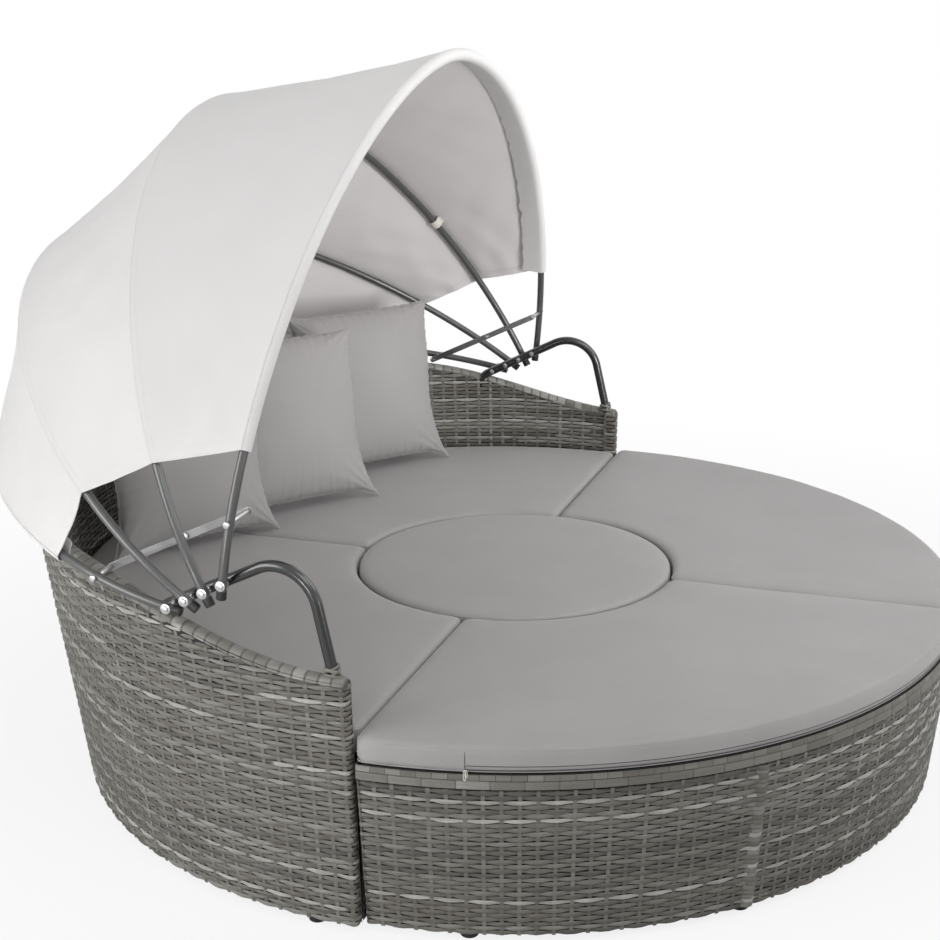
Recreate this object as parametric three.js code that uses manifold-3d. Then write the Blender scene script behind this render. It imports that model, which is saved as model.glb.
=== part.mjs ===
// Round outdoor daybed with a folding canopy.
//
// Two quarter stools in front, a half-round sofa with a leaning woven back behind them and a round
// stool in the middle make a circle. Four bows, pivoted on the two arm tubes, carry the canopy.
//
// Millimetres, +Z up. The sitter faces -Y, and the left of the sofa is at -X.

import * as THREE from 'three';
import { mergeVertices } from 'three/addons/utils/BufferGeometryUtils.js';
import Module from 'manifold-3d';

const wasm = await Module();
wasm.setup();

// driving dimensions

const clearance = 0.3;
const moduleGap = 6;

// Woven bases
const footHeight = 13;
const deckHeight = 327;
const railHeight = 27;
const railGroove = 2;
const railWidth = 30;
const railProud = 3;
const railEdge = 4;
const wickerThickness = 28;
const baseRadiusTop = 900;
const baseTaper = 32;
const baseRadiusBottom = baseRadiusTop - baseTaper;
const deckThickness = 18;
const ridgeWidth = 34;
const ridgeProud = 4;

// Round stool in the middle
const stoolRadius = 325;
const stoolTaper = 8;
const stoolClearance = 8;

// Leaning back
const backSetIn = 14;
const backRadiusBottom = baseRadiusTop - backSetIn;
const backThickness = 28;
const backLeanFront = 0.05;
const backLeanRear = 0.1375;
const backLeanTurn = THREE.MathUtils.degToRad(36);
const armHeight = 478;
const backHeight = 590;
const rimTurn = THREE.MathUtils.degToRad(36);
const rimEdge = 6;
const apronThickness = 22;

// Feet
const footRadius = 16;
const footSeat = 1;
const footInset = 24;
const footGlideRadius = 13;
const footGlideHeight = 5;

// Seat cushions
const cushionHeight = 44;
const cushionCrown = 8;
const crownPower = 4;
const cushionEdge = 16;
const cushionBulge = 5;
const cushionOverhang = 2;
const cushionFit = 3;
const cushionGap = 3;
const stoolCushionOverhang = 1;
const cushionCentreRadius = stoolRadius + stoolCushionOverhang;

// Scatter cushions
const pillowSide = 420;
const pillowThickness = 130;
const pillowPinch = 22;
const pillowSeam = 5;

// Arm tubes
const armTubeRadius = 10;
const armFront = 25;
const armTop = 653;
const armBend = 97;
const armFall = Math.atan(0.5);
const armSocket = 60;
const armRearBend = 34;
const armRearSocket = 30;
const armSetIn = 7.5;
const armToeIn = 31.5;
const armSpanFront = baseRadiusTop - armSetIn;
const armSpanRear = armSpanFront - armToeIn;
const armRear = 357;

// Bows
const bowRadius = 8;
const bowFlattening = 103;
const baseBowSetIn = 69;
const bowHalfWidth = baseRadiusTop;
const bowReach = bowHalfWidth - bowFlattening;
const baseBowReach = bowReach - baseBowSetIn;
const bowExponent = 1.82;
const bowTail = 25;
const bowFoot = 20;
const bowStepSag = 1.2;
const pivotPitch = 38;
const pivotFront = 222;
const frontBowAngle = THREE.MathUtils.degToRad(96.8);
const middleBowAngle = THREE.MathUtils.degToRad(63);
const rearBowAngle = THREE.MathUtils.degToRad(34.7);
const baseBowAngle = THREE.MathUtils.degToRad(11);
const capLength = 12;
const capWall = 1;

// Pivot bolts
const boltRadius = 3;
const boltPlay = 0.4;
const boltHeadRadius = 6.5;
const boltHeadHeight = 5;
const washerRadius = 9;
const washerThickness = 1.6;
const spacerRadius = 6;

// Folding stays
const stayWidth = 13;
const stayThickness = 2.5;
const stayGap = 0.6;
const stayFrontHeight = 104;
const stayRearReach = 150;
const stayFrontLength = 130;
const stayCrossing = 240;
const stayOffset = 12;
const stayRivetRadius = 5;
const stayRivetHeight = 2;

// Canopy cover
const clothThickness = 2.5;
const clothLift = 2;
const clothSag = 8;
const hemFront = 218;
const hemMiddle = 221;
const hemRear = 255;
const hemBase = 235;
const pocketDepth = 43;
const pocketDrop = 3;
const strapWidth = 25;
const strapThickness = 0.7;
const strapPlace = 6;

// Bolts on the back of the sofa
const rearBoltDrop = 32;
const rearBoltTurn = THREE.MathUtils.degToRad(57);

// How finely round forms are stepped
const arcSteps = 18;
const wallSteps = 42;
const tubeSides = 8;
const bowSteps = 32;
const hemStep = 3;
const armBendSteps = 9;
const armRearBendSteps = 4;
const clothRows = 3;
const pocketSteps = 4;
const turnSteps = 30;
const smallTurnSteps = 8;
const cushionColumns = 10;
const cushionRows = 6;
const pillowCells = 10;

// derived sizes

const railBottom = deckHeight - railHeight;
const skirtTop = railBottom - railGroove;
const halfGap = moduleGap / 2;
const recessRadius = stoolRadius + railProud + stoolClearance;
const cushionTop = deckHeight + clearance + cushionHeight;
const cushionSeam = halfGap + cushionBulge - cushionOverhang;
const clothInner = bowRadius + clothLift;
const clothOuter = clothInner + clothThickness;
const armYaw = (armSpanFront - armSpanRear) / (armRear - armFront);
const pivotStep = new THREE.Vector2(Math.cos(armFall), -Math.sin(armFall)).multiplyScalar(pivotPitch);

// materials

const finish = (color, roughness, metalness = 0) =>
  new THREE.MeshStandardMaterial({ color, roughness, metalness });
const wickerFinish = () => finish(0x7c7b75, 0.75);
const railFinish = () => finish(0x86857f, 0.7);
const deckFinish = () => finish(0x4b4b4a, 0.8);
const cushionFinish = () => finish(0xa3a0a1, 0.95);
const clothFinish = () => finish(0xd9d7d8, 0.9);
const tubeFinish = () => finish(0x3c3d3f, 0.35, 0.2);
const plasticFinish = () => finish(0x1f1f20, 0.5);
const zincFinish = () => finish(0xc9cac9, 0.3, 0.9);
const stayFinish = () => finish(0xa9abad, 0.35, 0.8);
const strapFinish = () => finish(0xe6e1cf, 0.9);

// solids

/** A closed solid from points and faces; all faces list their point numbers in the same turning sense. */
function closedSolid(points, faces) {
  const geometry = new THREE.BufferGeometry();
  geometry.setAttribute(
    'position',
    new THREE.Float32BufferAttribute(points.flatMap((p) => [p.x, p.y, p.z]), 3),
  );
  const triangles = faces.flatMap(([first, ...rest]) =>
    rest.slice(1).flatMap((corner, i) => [first, rest[i], corner]));
  geometry.setIndex(triangles);
  return outward(geometry);
}

/** Turns a closed solid's faces outward. */
function outward(geometry) {
  const { position } = geometry.attributes;
  const index = geometry.index.array;
  const [a, b, c] = [new THREE.Vector3(), new THREE.Vector3(), new THREE.Vector3()];
  let volume = 0;
  for (let i = 0; i < index.length; i += 3) {
    a.fromBufferAttribute(position, index[i]);
    b.fromBufferAttribute(position, index[i + 1]);
    c.fromBufferAttribute(position, index[i + 2]);
    volume += a.dot(b.cross(c));
  }
  if (volume < 0) {
    for (let i = 0; i < index.length; i += 3) [index[i + 1], index[i + 2]] = [index[i + 2], index[i + 1]];
  }
  geometry.computeVertexNormals();
  return geometry;
}

/** Joins sections of equal point count into one solid, with flat ends or as a closed ring of sections. */
function loft(sections, ring = false) {
  const count = sections[0].length;
  const points = sections.flat();
  const faces = [];
  const last = ring ? sections.length : sections.length - 1;
  for (let s = 0; s < last; s += 1) {
    const next = (s + 1) % sections.length;
    for (let i = 0; i < count; i += 1) {
      const j = (i + 1) % count;
      faces.push([s * count + i, s * count + j, next * count + j, next * count + i]);
    }
  }
  if (!ring) {
    const end = (sections.length - 1) * count;
    const outline = sections[0].map((p) => flatten(p, sections[0]));
    const cap = THREE.ShapeUtils.triangulateShape(outline, []);
    const turned = THREE.ShapeUtils.isClockWise(outline);
    for (const [a, b, c] of cap) {
      faces.push(turned ? [a, b, c] : [a, c, b]);
      faces.push(turned ? [end + a, end + c, end + b] : [end + a, end + b, end + c]);
    }
  }
  return closedSolid(points, faces);
}

/** A point of a flat section in the section's own plane, with the section's turning sense kept. */
function flatten(point, section) {
  const normal = new THREE.Vector3();
  section.forEach((p, i) => {
    const q = section[(i + 1) % section.length];
    normal.x += (p.y - q.y) * (p.z + q.z);
    normal.y += (p.z - q.z) * (p.x + q.x);
    normal.z += (p.x - q.x) * (p.y + q.y);
  });
  normal.normalize();
  const across = section[1].clone().sub(section[0]).normalize();
  const up = normal.clone().cross(across);
  const local = point.clone().sub(section[0]);
  return new THREE.Vector2(local.dot(across), local.dot(up));
}

/** A solid between an outer and an inner loop, each given from the bottom up. */
function hollowLoft(outer, inner) {
  const loops = [...outer, ...inner.slice().reverse()];
  const sections = loops[0].map((_, i) => loops.map((loop) => loop[i]));
  return loft(sections.reverse(), true);
}

/** A flat plate of an outline, from one height to another. */
function plate(outline, bottom, top) {
  const geometry = new THREE.ExtrudeGeometry(
    new THREE.Shape(outline),
    { depth: top - bottom, bevelEnabled: false },
  );
  return geometry.translate(0, 0, bottom);
}

/** Sideways steps at the points of a flat line, longer where it bends, so that offsets run parallel. */
function mitres(points, normal) {
  return points.map((centre, i) => {
    const arriving = centre.clone().sub(points[Math.max(i - 1, 0)]).normalize();
    const leaving = points[Math.min(i + 1, points.length - 1)].clone().sub(centre).normalize();
    const along = arriving.clone().add(leaving).normalize();
    const halfBend = Math.max(along.dot(arriving), along.dot(leaving));
    return normal.clone().cross(along).setLength(1 / halfBend);
  });
}

/** A round bar along points that all lie in the plane with this normal, mitred where it bends. */
function tube(points, normal, radius, sides = tubeSides) {
  const steps = mitres(points, normal);
  return loft(points.map((centre, i) => ringOfPoints(radius, sides).map((p) => centre.clone()
    .addScaledVector(steps[i], p.x)
    .addScaledVector(normal, p.y))));
}

/** The corners of a regular polygon in a circle. */
function ringOfPoints(radius, sides) {
  return Array.from({ length: sides }, (_, i) => {
    const turn = (i / sides) * Math.PI * 2;
    return new THREE.Vector2(radius * Math.cos(turn), radius * Math.sin(turn));
  });
}

/** A turned solid; the profile gives radius and place along the axis, and the axis points along +X. */
function turned(profile, steps = smallTurnSteps) {
  const points = profile.map(([radius, along]) => new THREE.Vector2(radius, along));
  return new THREE.LatheGeometry(points, steps).rotateZ(-Math.PI / 2);
}

function toSolid(geometry) {
  const bare = geometry.clone();
  bare.deleteAttribute('normal');
  bare.deleteAttribute('uv');
  const merged = mergeVertices(bare);
  return new wasm.Manifold(new wasm.Mesh({
    numProp: 3,
    vertProperties: new Float32Array(merged.attributes.position.array),
    triVerts: new Uint32Array(merged.index.array),
  }));
}

function fromSolid(solid) {
  const { vertProperties, triVerts } = solid.getMesh();
  const geometry = new THREE.BufferGeometry();
  geometry.setAttribute('position', new THREE.BufferAttribute(new Float32Array(vertProperties), 3));
  geometry.setIndex(new THREE.BufferAttribute(new Uint32Array(triVerts), 1));
  geometry.computeVertexNormals();
  return geometry;
}

/** A geometry with others cut out of it. */
function cut(geometry, ...tools) {
  return fromSolid(tools.reduce((solid, tool) => solid.subtract(toSolid(tool)), toSolid(geometry)));
}

/** Geometries joined to one solid. */
function join(...geometries) {
  return fromSolid(geometries.map(toSolid).reduce((solid, other) => solid.add(other)));
}

const daybed = new THREE.Group();

/** Adds a named piece to the daybed. */
function addPiece(name, geometry, material) {
  const mesh = new THREE.Mesh(geometry, material);
  mesh.name = name;
  daybed.add(mesh);
  return mesh;
}

// quarter-circle outlines

const quarters = ['backRight', 'backLeft', 'frontLeft', 'frontRight'];

/** Turns a point of the quarter between +X and +Y into another quarter. */
function toQuarter(u, v, quarter) {
  const turns = [[u, v], [-v, u], [-u, -v], [v, -u]];
  return new THREE.Vector2(...turns[quarters.indexOf(quarter)]);
}

/** Angles at which an arc of a radius starts and ends, when its ends lie a distance from the two seams. */
function arcSpan(radius, seam) {
  const start = Math.asin(seam / radius);
  return [start, Math.PI / 2 - start];
}

/** A quarter's outline with its sides a distance from the seams: outer arc, then inner arc. */
function quarterOutline(quarter, outerRadius, innerRadius, seam, bump = () => 0) {
  const points = [];
  const [outerStart, outerEnd] = arcSpan(outerRadius, seam);
  const [innerStart, innerEnd] = arcSpan(innerRadius, seam);
  for (let i = 0; i <= arcSteps; i += 1) {
    const angle = THREE.MathUtils.lerp(outerStart, outerEnd, i / arcSteps);
    const radius = outerRadius + bump(angle);
    points.push(toQuarter(radius * Math.cos(angle), radius * Math.sin(angle), quarter));
  }
  for (let i = 0; i <= arcSteps / 2; i += 1) {
    const angle = THREE.MathUtils.lerp(innerEnd, innerStart, i / (arcSteps / 2));
    points.push(toQuarter(innerRadius * Math.cos(angle), innerRadius * Math.sin(angle), quarter));
  }
  return points;
}

const atHeight = (outline, z) => outline.map((p) => new THREE.Vector3(p.x, p.y, z));

/** The wrapped frame leg shows as an upright ridge in the middle of a quarter's outer side. */
function ridge(angle) {
  const along = Math.abs(angle - Math.PI / 4) * baseRadiusTop;
  return along < ridgeWidth ? ridgeProud : 0;
}

// front quarter stools

function quarterSkirt(quarter) {
  const outer = [
    atHeight(quarterOutline(quarter, baseRadiusBottom, recessRadius, halfGap, ridge), footHeight),
    atHeight(quarterOutline(quarter, baseRadiusTop, recessRadius, halfGap, ridge), skirtTop),
  ];
  const wall = wickerThickness;
  const inner = [
    atHeight(quarterOutline(quarter, baseRadiusBottom - wall, recessRadius + wall, halfGap + wall), footHeight),
    atHeight(quarterOutline(quarter, baseRadiusTop - wall, recessRadius + wall, halfGap + wall), skirtTop),
  ];
  return hollowLoft(outer, inner);
}

function quarterRail(quarter) {
  const band = (inset, z) => atHeight(
    quarterOutline(
      quarter,
      baseRadiusTop + railProud - inset,
      recessRadius - railProud + inset,
      halfGap + inset,
    ),
    z,
  );
  const low = skirtTop + clearance;
  const outer = [
    band(railEdge, low),
    band(0, low + railEdge),
    band(0, deckHeight - railEdge),
    band(railEdge, deckHeight),
  ];
  const inner = [band(railWidth, low), band(railWidth, low + railEdge), band(railWidth, deckHeight - railEdge),
    band(railWidth, deckHeight)];
  return hollowLoft(outer, inner);
}

function quarterDeck(quarter) {
  const inset = railWidth + clearance;
  const outline = quarterOutline(quarter, baseRadiusTop + railProud - inset, recessRadius - railProud + inset,
    halfGap + inset);
  return plate(outline, deckHeight - deckThickness, deckHeight);
}

// round stool

/** A ring from a closed section of radius and height. */
function turnedUp(section, steps = turnSteps) {
  const closed = [...section, section[0]].map(([radius, height]) => new THREE.Vector2(radius, height));
  return new THREE.LatheGeometry(closed, steps).rotateX(Math.PI / 2);
}

function stoolSkirt() {
  const wall = wickerThickness;
  return turnedUp([
    [stoolRadius - stoolTaper, footHeight], [stoolRadius, skirtTop],
    [stoolRadius - wall, skirtTop], [stoolRadius - stoolTaper - wall, footHeight],
  ]);
}

function stoolRail() {
  const low = skirtTop + clearance;
  const out = stoolRadius + railProud;
  return turnedUp([
    [out - railEdge, low], [out, low + railEdge], [out, deckHeight - railEdge], [out - railEdge, deckHeight],
    [out - railWidth, deckHeight], [out - railWidth, low],
  ]);
}

function stoolDeck() {
  const radius = stoolRadius + railProud - railWidth - clearance;
  return new THREE.LatheGeometry([
    new THREE.Vector2(0, deckHeight - deckThickness), new THREE.Vector2(radius, deckHeight - deckThickness),
    new THREE.Vector2(radius, deckHeight), new THREE.Vector2(0, deckHeight),
  ], turnSteps).rotateX(Math.PI / 2);
}

// sofa

/** Angle from the nearer arm, for a bearing between the two arms. */
const fromArm = (bearing) => Math.min(bearing, Math.PI - bearing);

function backRadius(bearing, z) {
  const share = Math.sin(Math.min(fromArm(bearing) / backLeanTurn, 1) * (Math.PI / 2));
  const lean = THREE.MathUtils.lerp(backLeanFront, backLeanRear, share);
  return backRadiusBottom + lean * (z - footHeight);
}

function rimHeight(bearing) {
  const share = THREE.MathUtils.smoothstep(fromArm(bearing), 0, rimTurn);
  return THREE.MathUtils.lerp(armHeight, backHeight, share);
}

/** A point at a bearing and radius; at the arms the ends lie flat along the seam. */
function backPoint(share, radius, z, seam = halfGap) {
  const start = Math.asin(seam / radius);
  const bearing = THREE.MathUtils.lerp(start, Math.PI - start, share);
  return new THREE.Vector3(radius * Math.cos(bearing), radius * Math.sin(bearing), z);
}

function backWall() {
  const sections = [];
  for (let i = 0; i <= wallSteps; i += 1) {
    const share = i / wallSteps;
    const bearing = share * Math.PI;
    const rim = rimHeight(bearing);
    const at = (inset, z) => backPoint(share, backRadius(bearing, z) - inset, z);
    sections.push([
      at(0, footHeight), at(0, deckHeight), at(0, rim - rimEdge), at(rimEdge, rim),
      at(backThickness - rimEdge, rim), at(backThickness, rim - rimEdge), at(backThickness, deckHeight),
      at(backThickness, footHeight),
    ]);
  }
  return loft(sections);
}

/** The back is stepped, so between its steps it comes this much further in than its true radius. */
const wallSag = backRadiusBottom * (1 - Math.cos(Math.PI / wallSteps / 2));

/** Inner face of the back at a height, less a fit. */
const insideBack = (bearing, z, fit) => backRadius(bearing, z) - backThickness - wallSag - fit;

function backDeck() {
  const outline = [];
  for (let i = 0; i <= wallSteps; i += 1) {
    const share = i / wallSteps;
    const point = backPoint(share, insideBack(share * Math.PI, deckHeight - deckThickness, clearance), 0,
      halfGap + apronThickness + clearance);
    outline.push(new THREE.Vector2(point.x, point.y));
  }
  const inner = recessRadius + apronThickness + clearance;
  for (let i = 0; i <= arcSteps; i += 1) {
    const point = backPoint(1 - i / arcSteps, inner, 0, halfGap + apronThickness + clearance);
    outline.push(new THREE.Vector2(point.x, point.y));
  }
  return plate(outline, deckHeight - deckThickness, deckHeight);
}

/** The woven front of the sofa: two flat panels and the hollow for the round stool. */
function backApron() {
  const reach = insideBack(0, footHeight, clearance);
  const far = halfGap + apronThickness;
  const outline = [new THREE.Vector2(reach, halfGap), new THREE.Vector2(Math.sqrt(reach ** 2 - far ** 2), far)];
  const arc = (radius, seam, from, to) => {
    for (let i = 0; i <= arcSteps; i += 1) {
      const point = backPoint(THREE.MathUtils.lerp(from, to, i / arcSteps), radius, 0, seam);
      outline.push(new THREE.Vector2(point.x, point.y));
    }
  };
  arc(recessRadius + apronThickness, far, 0, 1);
  outline.push(new THREE.Vector2(-Math.sqrt(reach ** 2 - far ** 2), far), new THREE.Vector2(-reach, halfGap));
  arc(recessRadius, halfGap, 1, 0);
  return plate(outline, footHeight, deckHeight);
}

// feet

function foot(x, y) {
  const profile = [[0, 0], [footGlideRadius, 0], [footRadius, footGlideHeight],
    [footRadius, footHeight + footSeat],
    [0, footHeight + footSeat]];
  const points = profile.map(([radius, height]) => new THREE.Vector2(radius, height));
  return new THREE.LatheGeometry(points, smallTurnSteps).rotateX(Math.PI / 2).translate(x, y, 0);
}

/** Feet at bearings in degrees on one radius. */
function feetOn(radius, bearings) {
  return bearings.map((bearing) => {
    const angle = THREE.MathUtils.degToRad(bearing);
    return foot(radius * Math.cos(angle), radius * Math.sin(angle));
  });
}

const outerFeetBearings = [12, 45, 78];
const innerFeetBearings = [20, 70];
const sofaFeetBearings = [6, 50, 90, 130, 174];
const sofaInnerFeetBearings = [30, 150];
const stoolFeetBearings = [45, 135, 225, 315];

/** A woven base piece together with the feet screwed into its lower frame. */
function onFeet(base, ...feet) {
  return join(base, ...feet.flat());
}

// seat cushions

/** Insets and heights of a padded edge, from the bottom face round to the top face. */
const edgeSections = [
  { inset: cushionEdge / 2, height: 0 },
  { inset: 0, height: cushionEdge / 2 },
  { inset: -cushionBulge, height: cushionHeight / 2 },
  { inset: 0, height: cushionHeight - cushionEdge / 2 },
  { inset: cushionEdge / 2, height: cushionHeight },
];

/** Grid of a quarter between two arcs: rows run from the inner arc to the outer one. */
function quarterGrid(quarter, outerAt, innerRadius, seam, inset, heightAt) {
  const rows = [];
  for (let r = 0; r <= cushionRows; r += 1) {
    const row = [];
    for (let c = 0; c <= cushionColumns; c += 1) {
      const across = c / cushionColumns;
      const middle = across * (Math.PI / 2);
      const radius = THREE.MathUtils.lerp(innerRadius + inset, outerAt(middle) - inset, r / cushionRows);
      const [start, end] = arcSpan(radius, seam + inset);
      const angle = THREE.MathUtils.lerp(start, end, across);
      const flat = toQuarter(radius * Math.cos(angle), radius * Math.sin(angle), quarter);
      row.push(new THREE.Vector3(flat.x, flat.y, heightAt(r / cushionRows, across)));
    }
    rows.push(row);
  }
  return rows;
}

/** Point numbers round the border of a grid, counter-clockwise. */
function borderOf(rows, columns) {
  const number = (r, c) => r * (columns + 1) + c;
  const border = [];
  for (let r = 0; r < rows; r += 1) border.push(number(r, 0));
  for (let c = 0; c < columns; c += 1) border.push(number(rows, c));
  for (let r = rows; r > 0; r -= 1) border.push(number(r, columns));
  for (let c = columns; c > 0; c -= 1) border.push(number(0, c));
  return border;
}

/** A padded body from stacked grids: the lowest and highest are faces, the others give only a border. */
function paddedBody(grids, rows, columns) {
  const border = borderOf(rows, columns);
  const bottom = grids[0].flat();
  const top = grids[grids.length - 1].flat();
  const points = [...bottom, ...top];
  const faces = [];
  const number = (r, c) => r * (columns + 1) + c;
  for (let r = 0; r < rows; r += 1) {
    for (let c = 0; c < columns; c += 1) {
      const quad = [number(r, c), number(r + 1, c), number(r + 1, c + 1), number(r, c + 1)];
      faces.push(quad.slice().reverse());
      faces.push(quad.map((i) => i + bottom.length));
    }
  }
  const rings = [border];
  for (const grid of grids.slice(1, -1)) {
    const flat = grid.flat();
    const start = points.length;
    border.forEach((i) => points.push(flat[i]));
    rings.push(border.map((_, i) => start + i));
  }
  rings.push(border.map((i) => i + bottom.length));
  for (let k = 0; k + 1 < rings.length; k += 1) {
    rings[k].forEach((_, i) => {
      const j = (i + 1) % border.length;
      faces.push([rings[k][j], rings[k + 1][j], rings[k + 1][i], rings[k][i]]);
    });
  }
  return closedSolid(points, faces);
}

/** Rises from zero at both edges to one over most of the middle. */
const swell = (share) => 1 - THREE.MathUtils.clamp(Math.abs(2 * share - 1), 0, 1) ** crownPower;

function quarterCushion(quarter, outerAt) {
  const inner = cushionCentreRadius + cushionGap;
  const bottom = deckHeight + clearance;
  const grids = edgeSections.map(({ inset, height }, k) => quarterGrid(
    quarter,
    outerAt,
    inner + cushionBulge,
    cushionSeam,
    inset,
    (r, c) => bottom + height + (k === edgeSections.length - 1 ? cushionCrown * swell(r) * swell(c) : 0),
  ));
  return paddedBody(grids, cushionRows, cushionColumns);
}

function centreCushion() {
  const bottom = deckHeight + clearance;
  const profile = [new THREE.Vector2(0, bottom)];
  for (const { inset, height } of edgeSections) {
    profile.push(new THREE.Vector2(cushionCentreRadius - cushionBulge - inset, bottom + height));
  }
  const crownSteps = 3;
  const rim = cushionCentreRadius - cushionBulge - cushionEdge / 2;
  for (let i = 1; i <= crownSteps; i += 1) {
    const share = 1 - i / crownSteps;
    const crownTop = bottom + cushionHeight + cushionCrown * Math.sqrt(1 - share ** 2);
    profile.push(new THREE.Vector2(rim * share, crownTop));
  }
  return new THREE.LatheGeometry(profile, turnSteps).rotateX(Math.PI / 2);
}

/** A back quarter meets the leaning back, so its cushion follows the back's inner face. */
const insideBackLeft = (angle) => insideBack(angle + Math.PI / 2, deckHeight, cushionFit + cushionBulge);
const insideBackRight = (angle) => insideBack(angle, deckHeight, cushionFit + cushionBulge);
const frontReach = () => baseRadiusTop - cushionBulge;

// scatter cushions

/** A square cushion with drawn-in sides and pointed corners, standing on its lower edge. */
function pillow() {
  const half = pillowSide / 2;
  const grid = (side) => {
    const rows = [];
    for (let r = 0; r <= pillowCells; r += 1) {
      const row = [];
      for (let c = 0; c <= pillowCells; c += 1) {
        const u = (c / pillowCells) * 2 - 1;
        const v = (r / pillowCells) * 2 - 1;
        const x = u * (half - pillowPinch * (1 - v ** 2));
        const z = v * (half - pillowPinch * (1 - u ** 2));
        const fill = Math.sqrt((1 - u ** 2) * (1 - v ** 2));
        row.push(
          new THREE.Vector3(x, side * (pillowSeam / 2 + (pillowThickness - pillowSeam) / 2 * fill), z + half),
        );
      }
      rows.push(row);
    }
    return rows;
  };
  return paddedBody([grid(-1), grid(1)], pillowCells, pillowCells);
}

/** A pillow's place: the middle of its lower edge before the back, its turn and how far it leans back. */
function pillowPlace(name, fromBack, bearing, yaw, lean) {
  const place = new THREE.Vector2(backRadiusBottom - fromBack, 0)
    .rotateAround(new THREE.Vector2(), THREE.MathUtils.degToRad(bearing));
  return { name, x: place.x, y: place.y, yaw, lean };
}

const pillows = [
  pillowPlace('pillow_left', 210.4, 101.53, -32, 10),
  pillowPlace('pillow_middle', 308.7, 74.01, -37, 15),
  pillowPlace('pillow_right', 167.6, 44.55, -36, 12),
];

/** The swell of a face that is stepped, at a share of its length. */
function steppedSwell(share, steps) {
  const step = Math.min(Math.floor(share * steps), steps - 1);
  return THREE.MathUtils.lerp(swell(step / steps), swell((step + 1) / steps), share * steps - step);
}

/** Height of a back cushion's crowned face at a place on it. */
function seatHeight(x, y) {
  const radius = Math.hypot(x, y);
  const bearing = Math.atan2(y, x);
  const { inset } = edgeSections[edgeSections.length - 1];
  const inner = cushionCentreRadius + cushionGap + cushionBulge + inset;
  const outer = insideBack(bearing, deckHeight, cushionFit + cushionBulge) - inset;
  const [start, end] = arcSpan(radius, cushionSeam + inset);
  const across = (bearing % (Math.PI / 2) - start) / (end - start);
  const crown = steppedSwell((radius - inner) / (outer - inner), cushionRows)
    * steppedSwell(across, cushionColumns);
  return cushionTop + cushionCrown * crown;
}

/** Stands a pillow on the lower corners it was given, on whichever part of the seat is higher. */
function placePillow({ name, x, y, yaw, lean }) {
  const mesh = addPiece(name, pillow(), cushionFinish());
  const turn = THREE.MathUtils.degToRad(yaw);
  const half = pillowSide / 2;
  const corners = [-half, half].map((along) =>
    seatHeight(x + along * Math.cos(turn), y + along * Math.sin(turn)));
  const tipped = (pillowSeam / 2) * Math.sin(THREE.MathUtils.degToRad(lean));
  mesh.position.set(x, y, Math.max(...corners) + clearance + tipped);
  mesh.rotation.set(THREE.MathUtils.degToRad(-lean), 0, turn, 'ZYX');
}

// arm tubes

/** Points of an arm tube in its own upright plane: out of the front of the arm, over, and back to the rim. */
function armPoints(side) {
  const points = [];
  const add = (y, z) => points.push(new THREE.Vector3(side * (armSpanFront - armYaw * (y - armFront)), y, z));
  const bend = (centreY, centreZ, radius, from, to, steps) => {
    for (let i = 0; i <= steps; i += 1) {
      const angle = THREE.MathUtils.lerp(from, to, i / steps);
      add(centreY + radius * Math.cos(angle), centreZ + radius * Math.sin(angle));
    }
  };
  const fallAngle = Math.PI / 2 - armFall;
  const rearCentre = armRear - armRearBend;
  const rearCentreHeight = armRunHeight(rearCentre + armRearBend * Math.sin(armFall))
    - armRearBend * Math.cos(armFall);
  add(armFront, armHeight - armSocket);
  bend(armFront + armBend, armTop - armBend, armBend, Math.PI, fallAngle, armBendSteps);
  bend(rearCentre, rearCentreHeight, armRearBend, fallAngle, 0, armRearBendSteps);
  add(armRear, rearCentreHeight - armRearSocket);
  return points;
}

/** Across the plane of an arm tube. */
const armNormal = (side) => new THREE.Vector3(1, side * armYaw, 0).normalize();

const armTube = (side, radius) => tube(armPoints(side), armNormal(side), radius);

/** Height of an arm tube's centre line on its falling run. */
function armRunHeight(y) {
  const start = armFront + armBend + armBend * Math.sin(armFall);
  const top = armTop - armBend + armBend * Math.cos(armFall);
  return top - (y - start) * Math.tan(armFall);
}

const pivots = [0, 1, 2, 3].map((step) => new THREE.Vector2(
  pivotFront + step * pivotStep.x,
  armRunHeight(pivotFront) + step * pivotStep.y,
));

// bows

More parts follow.
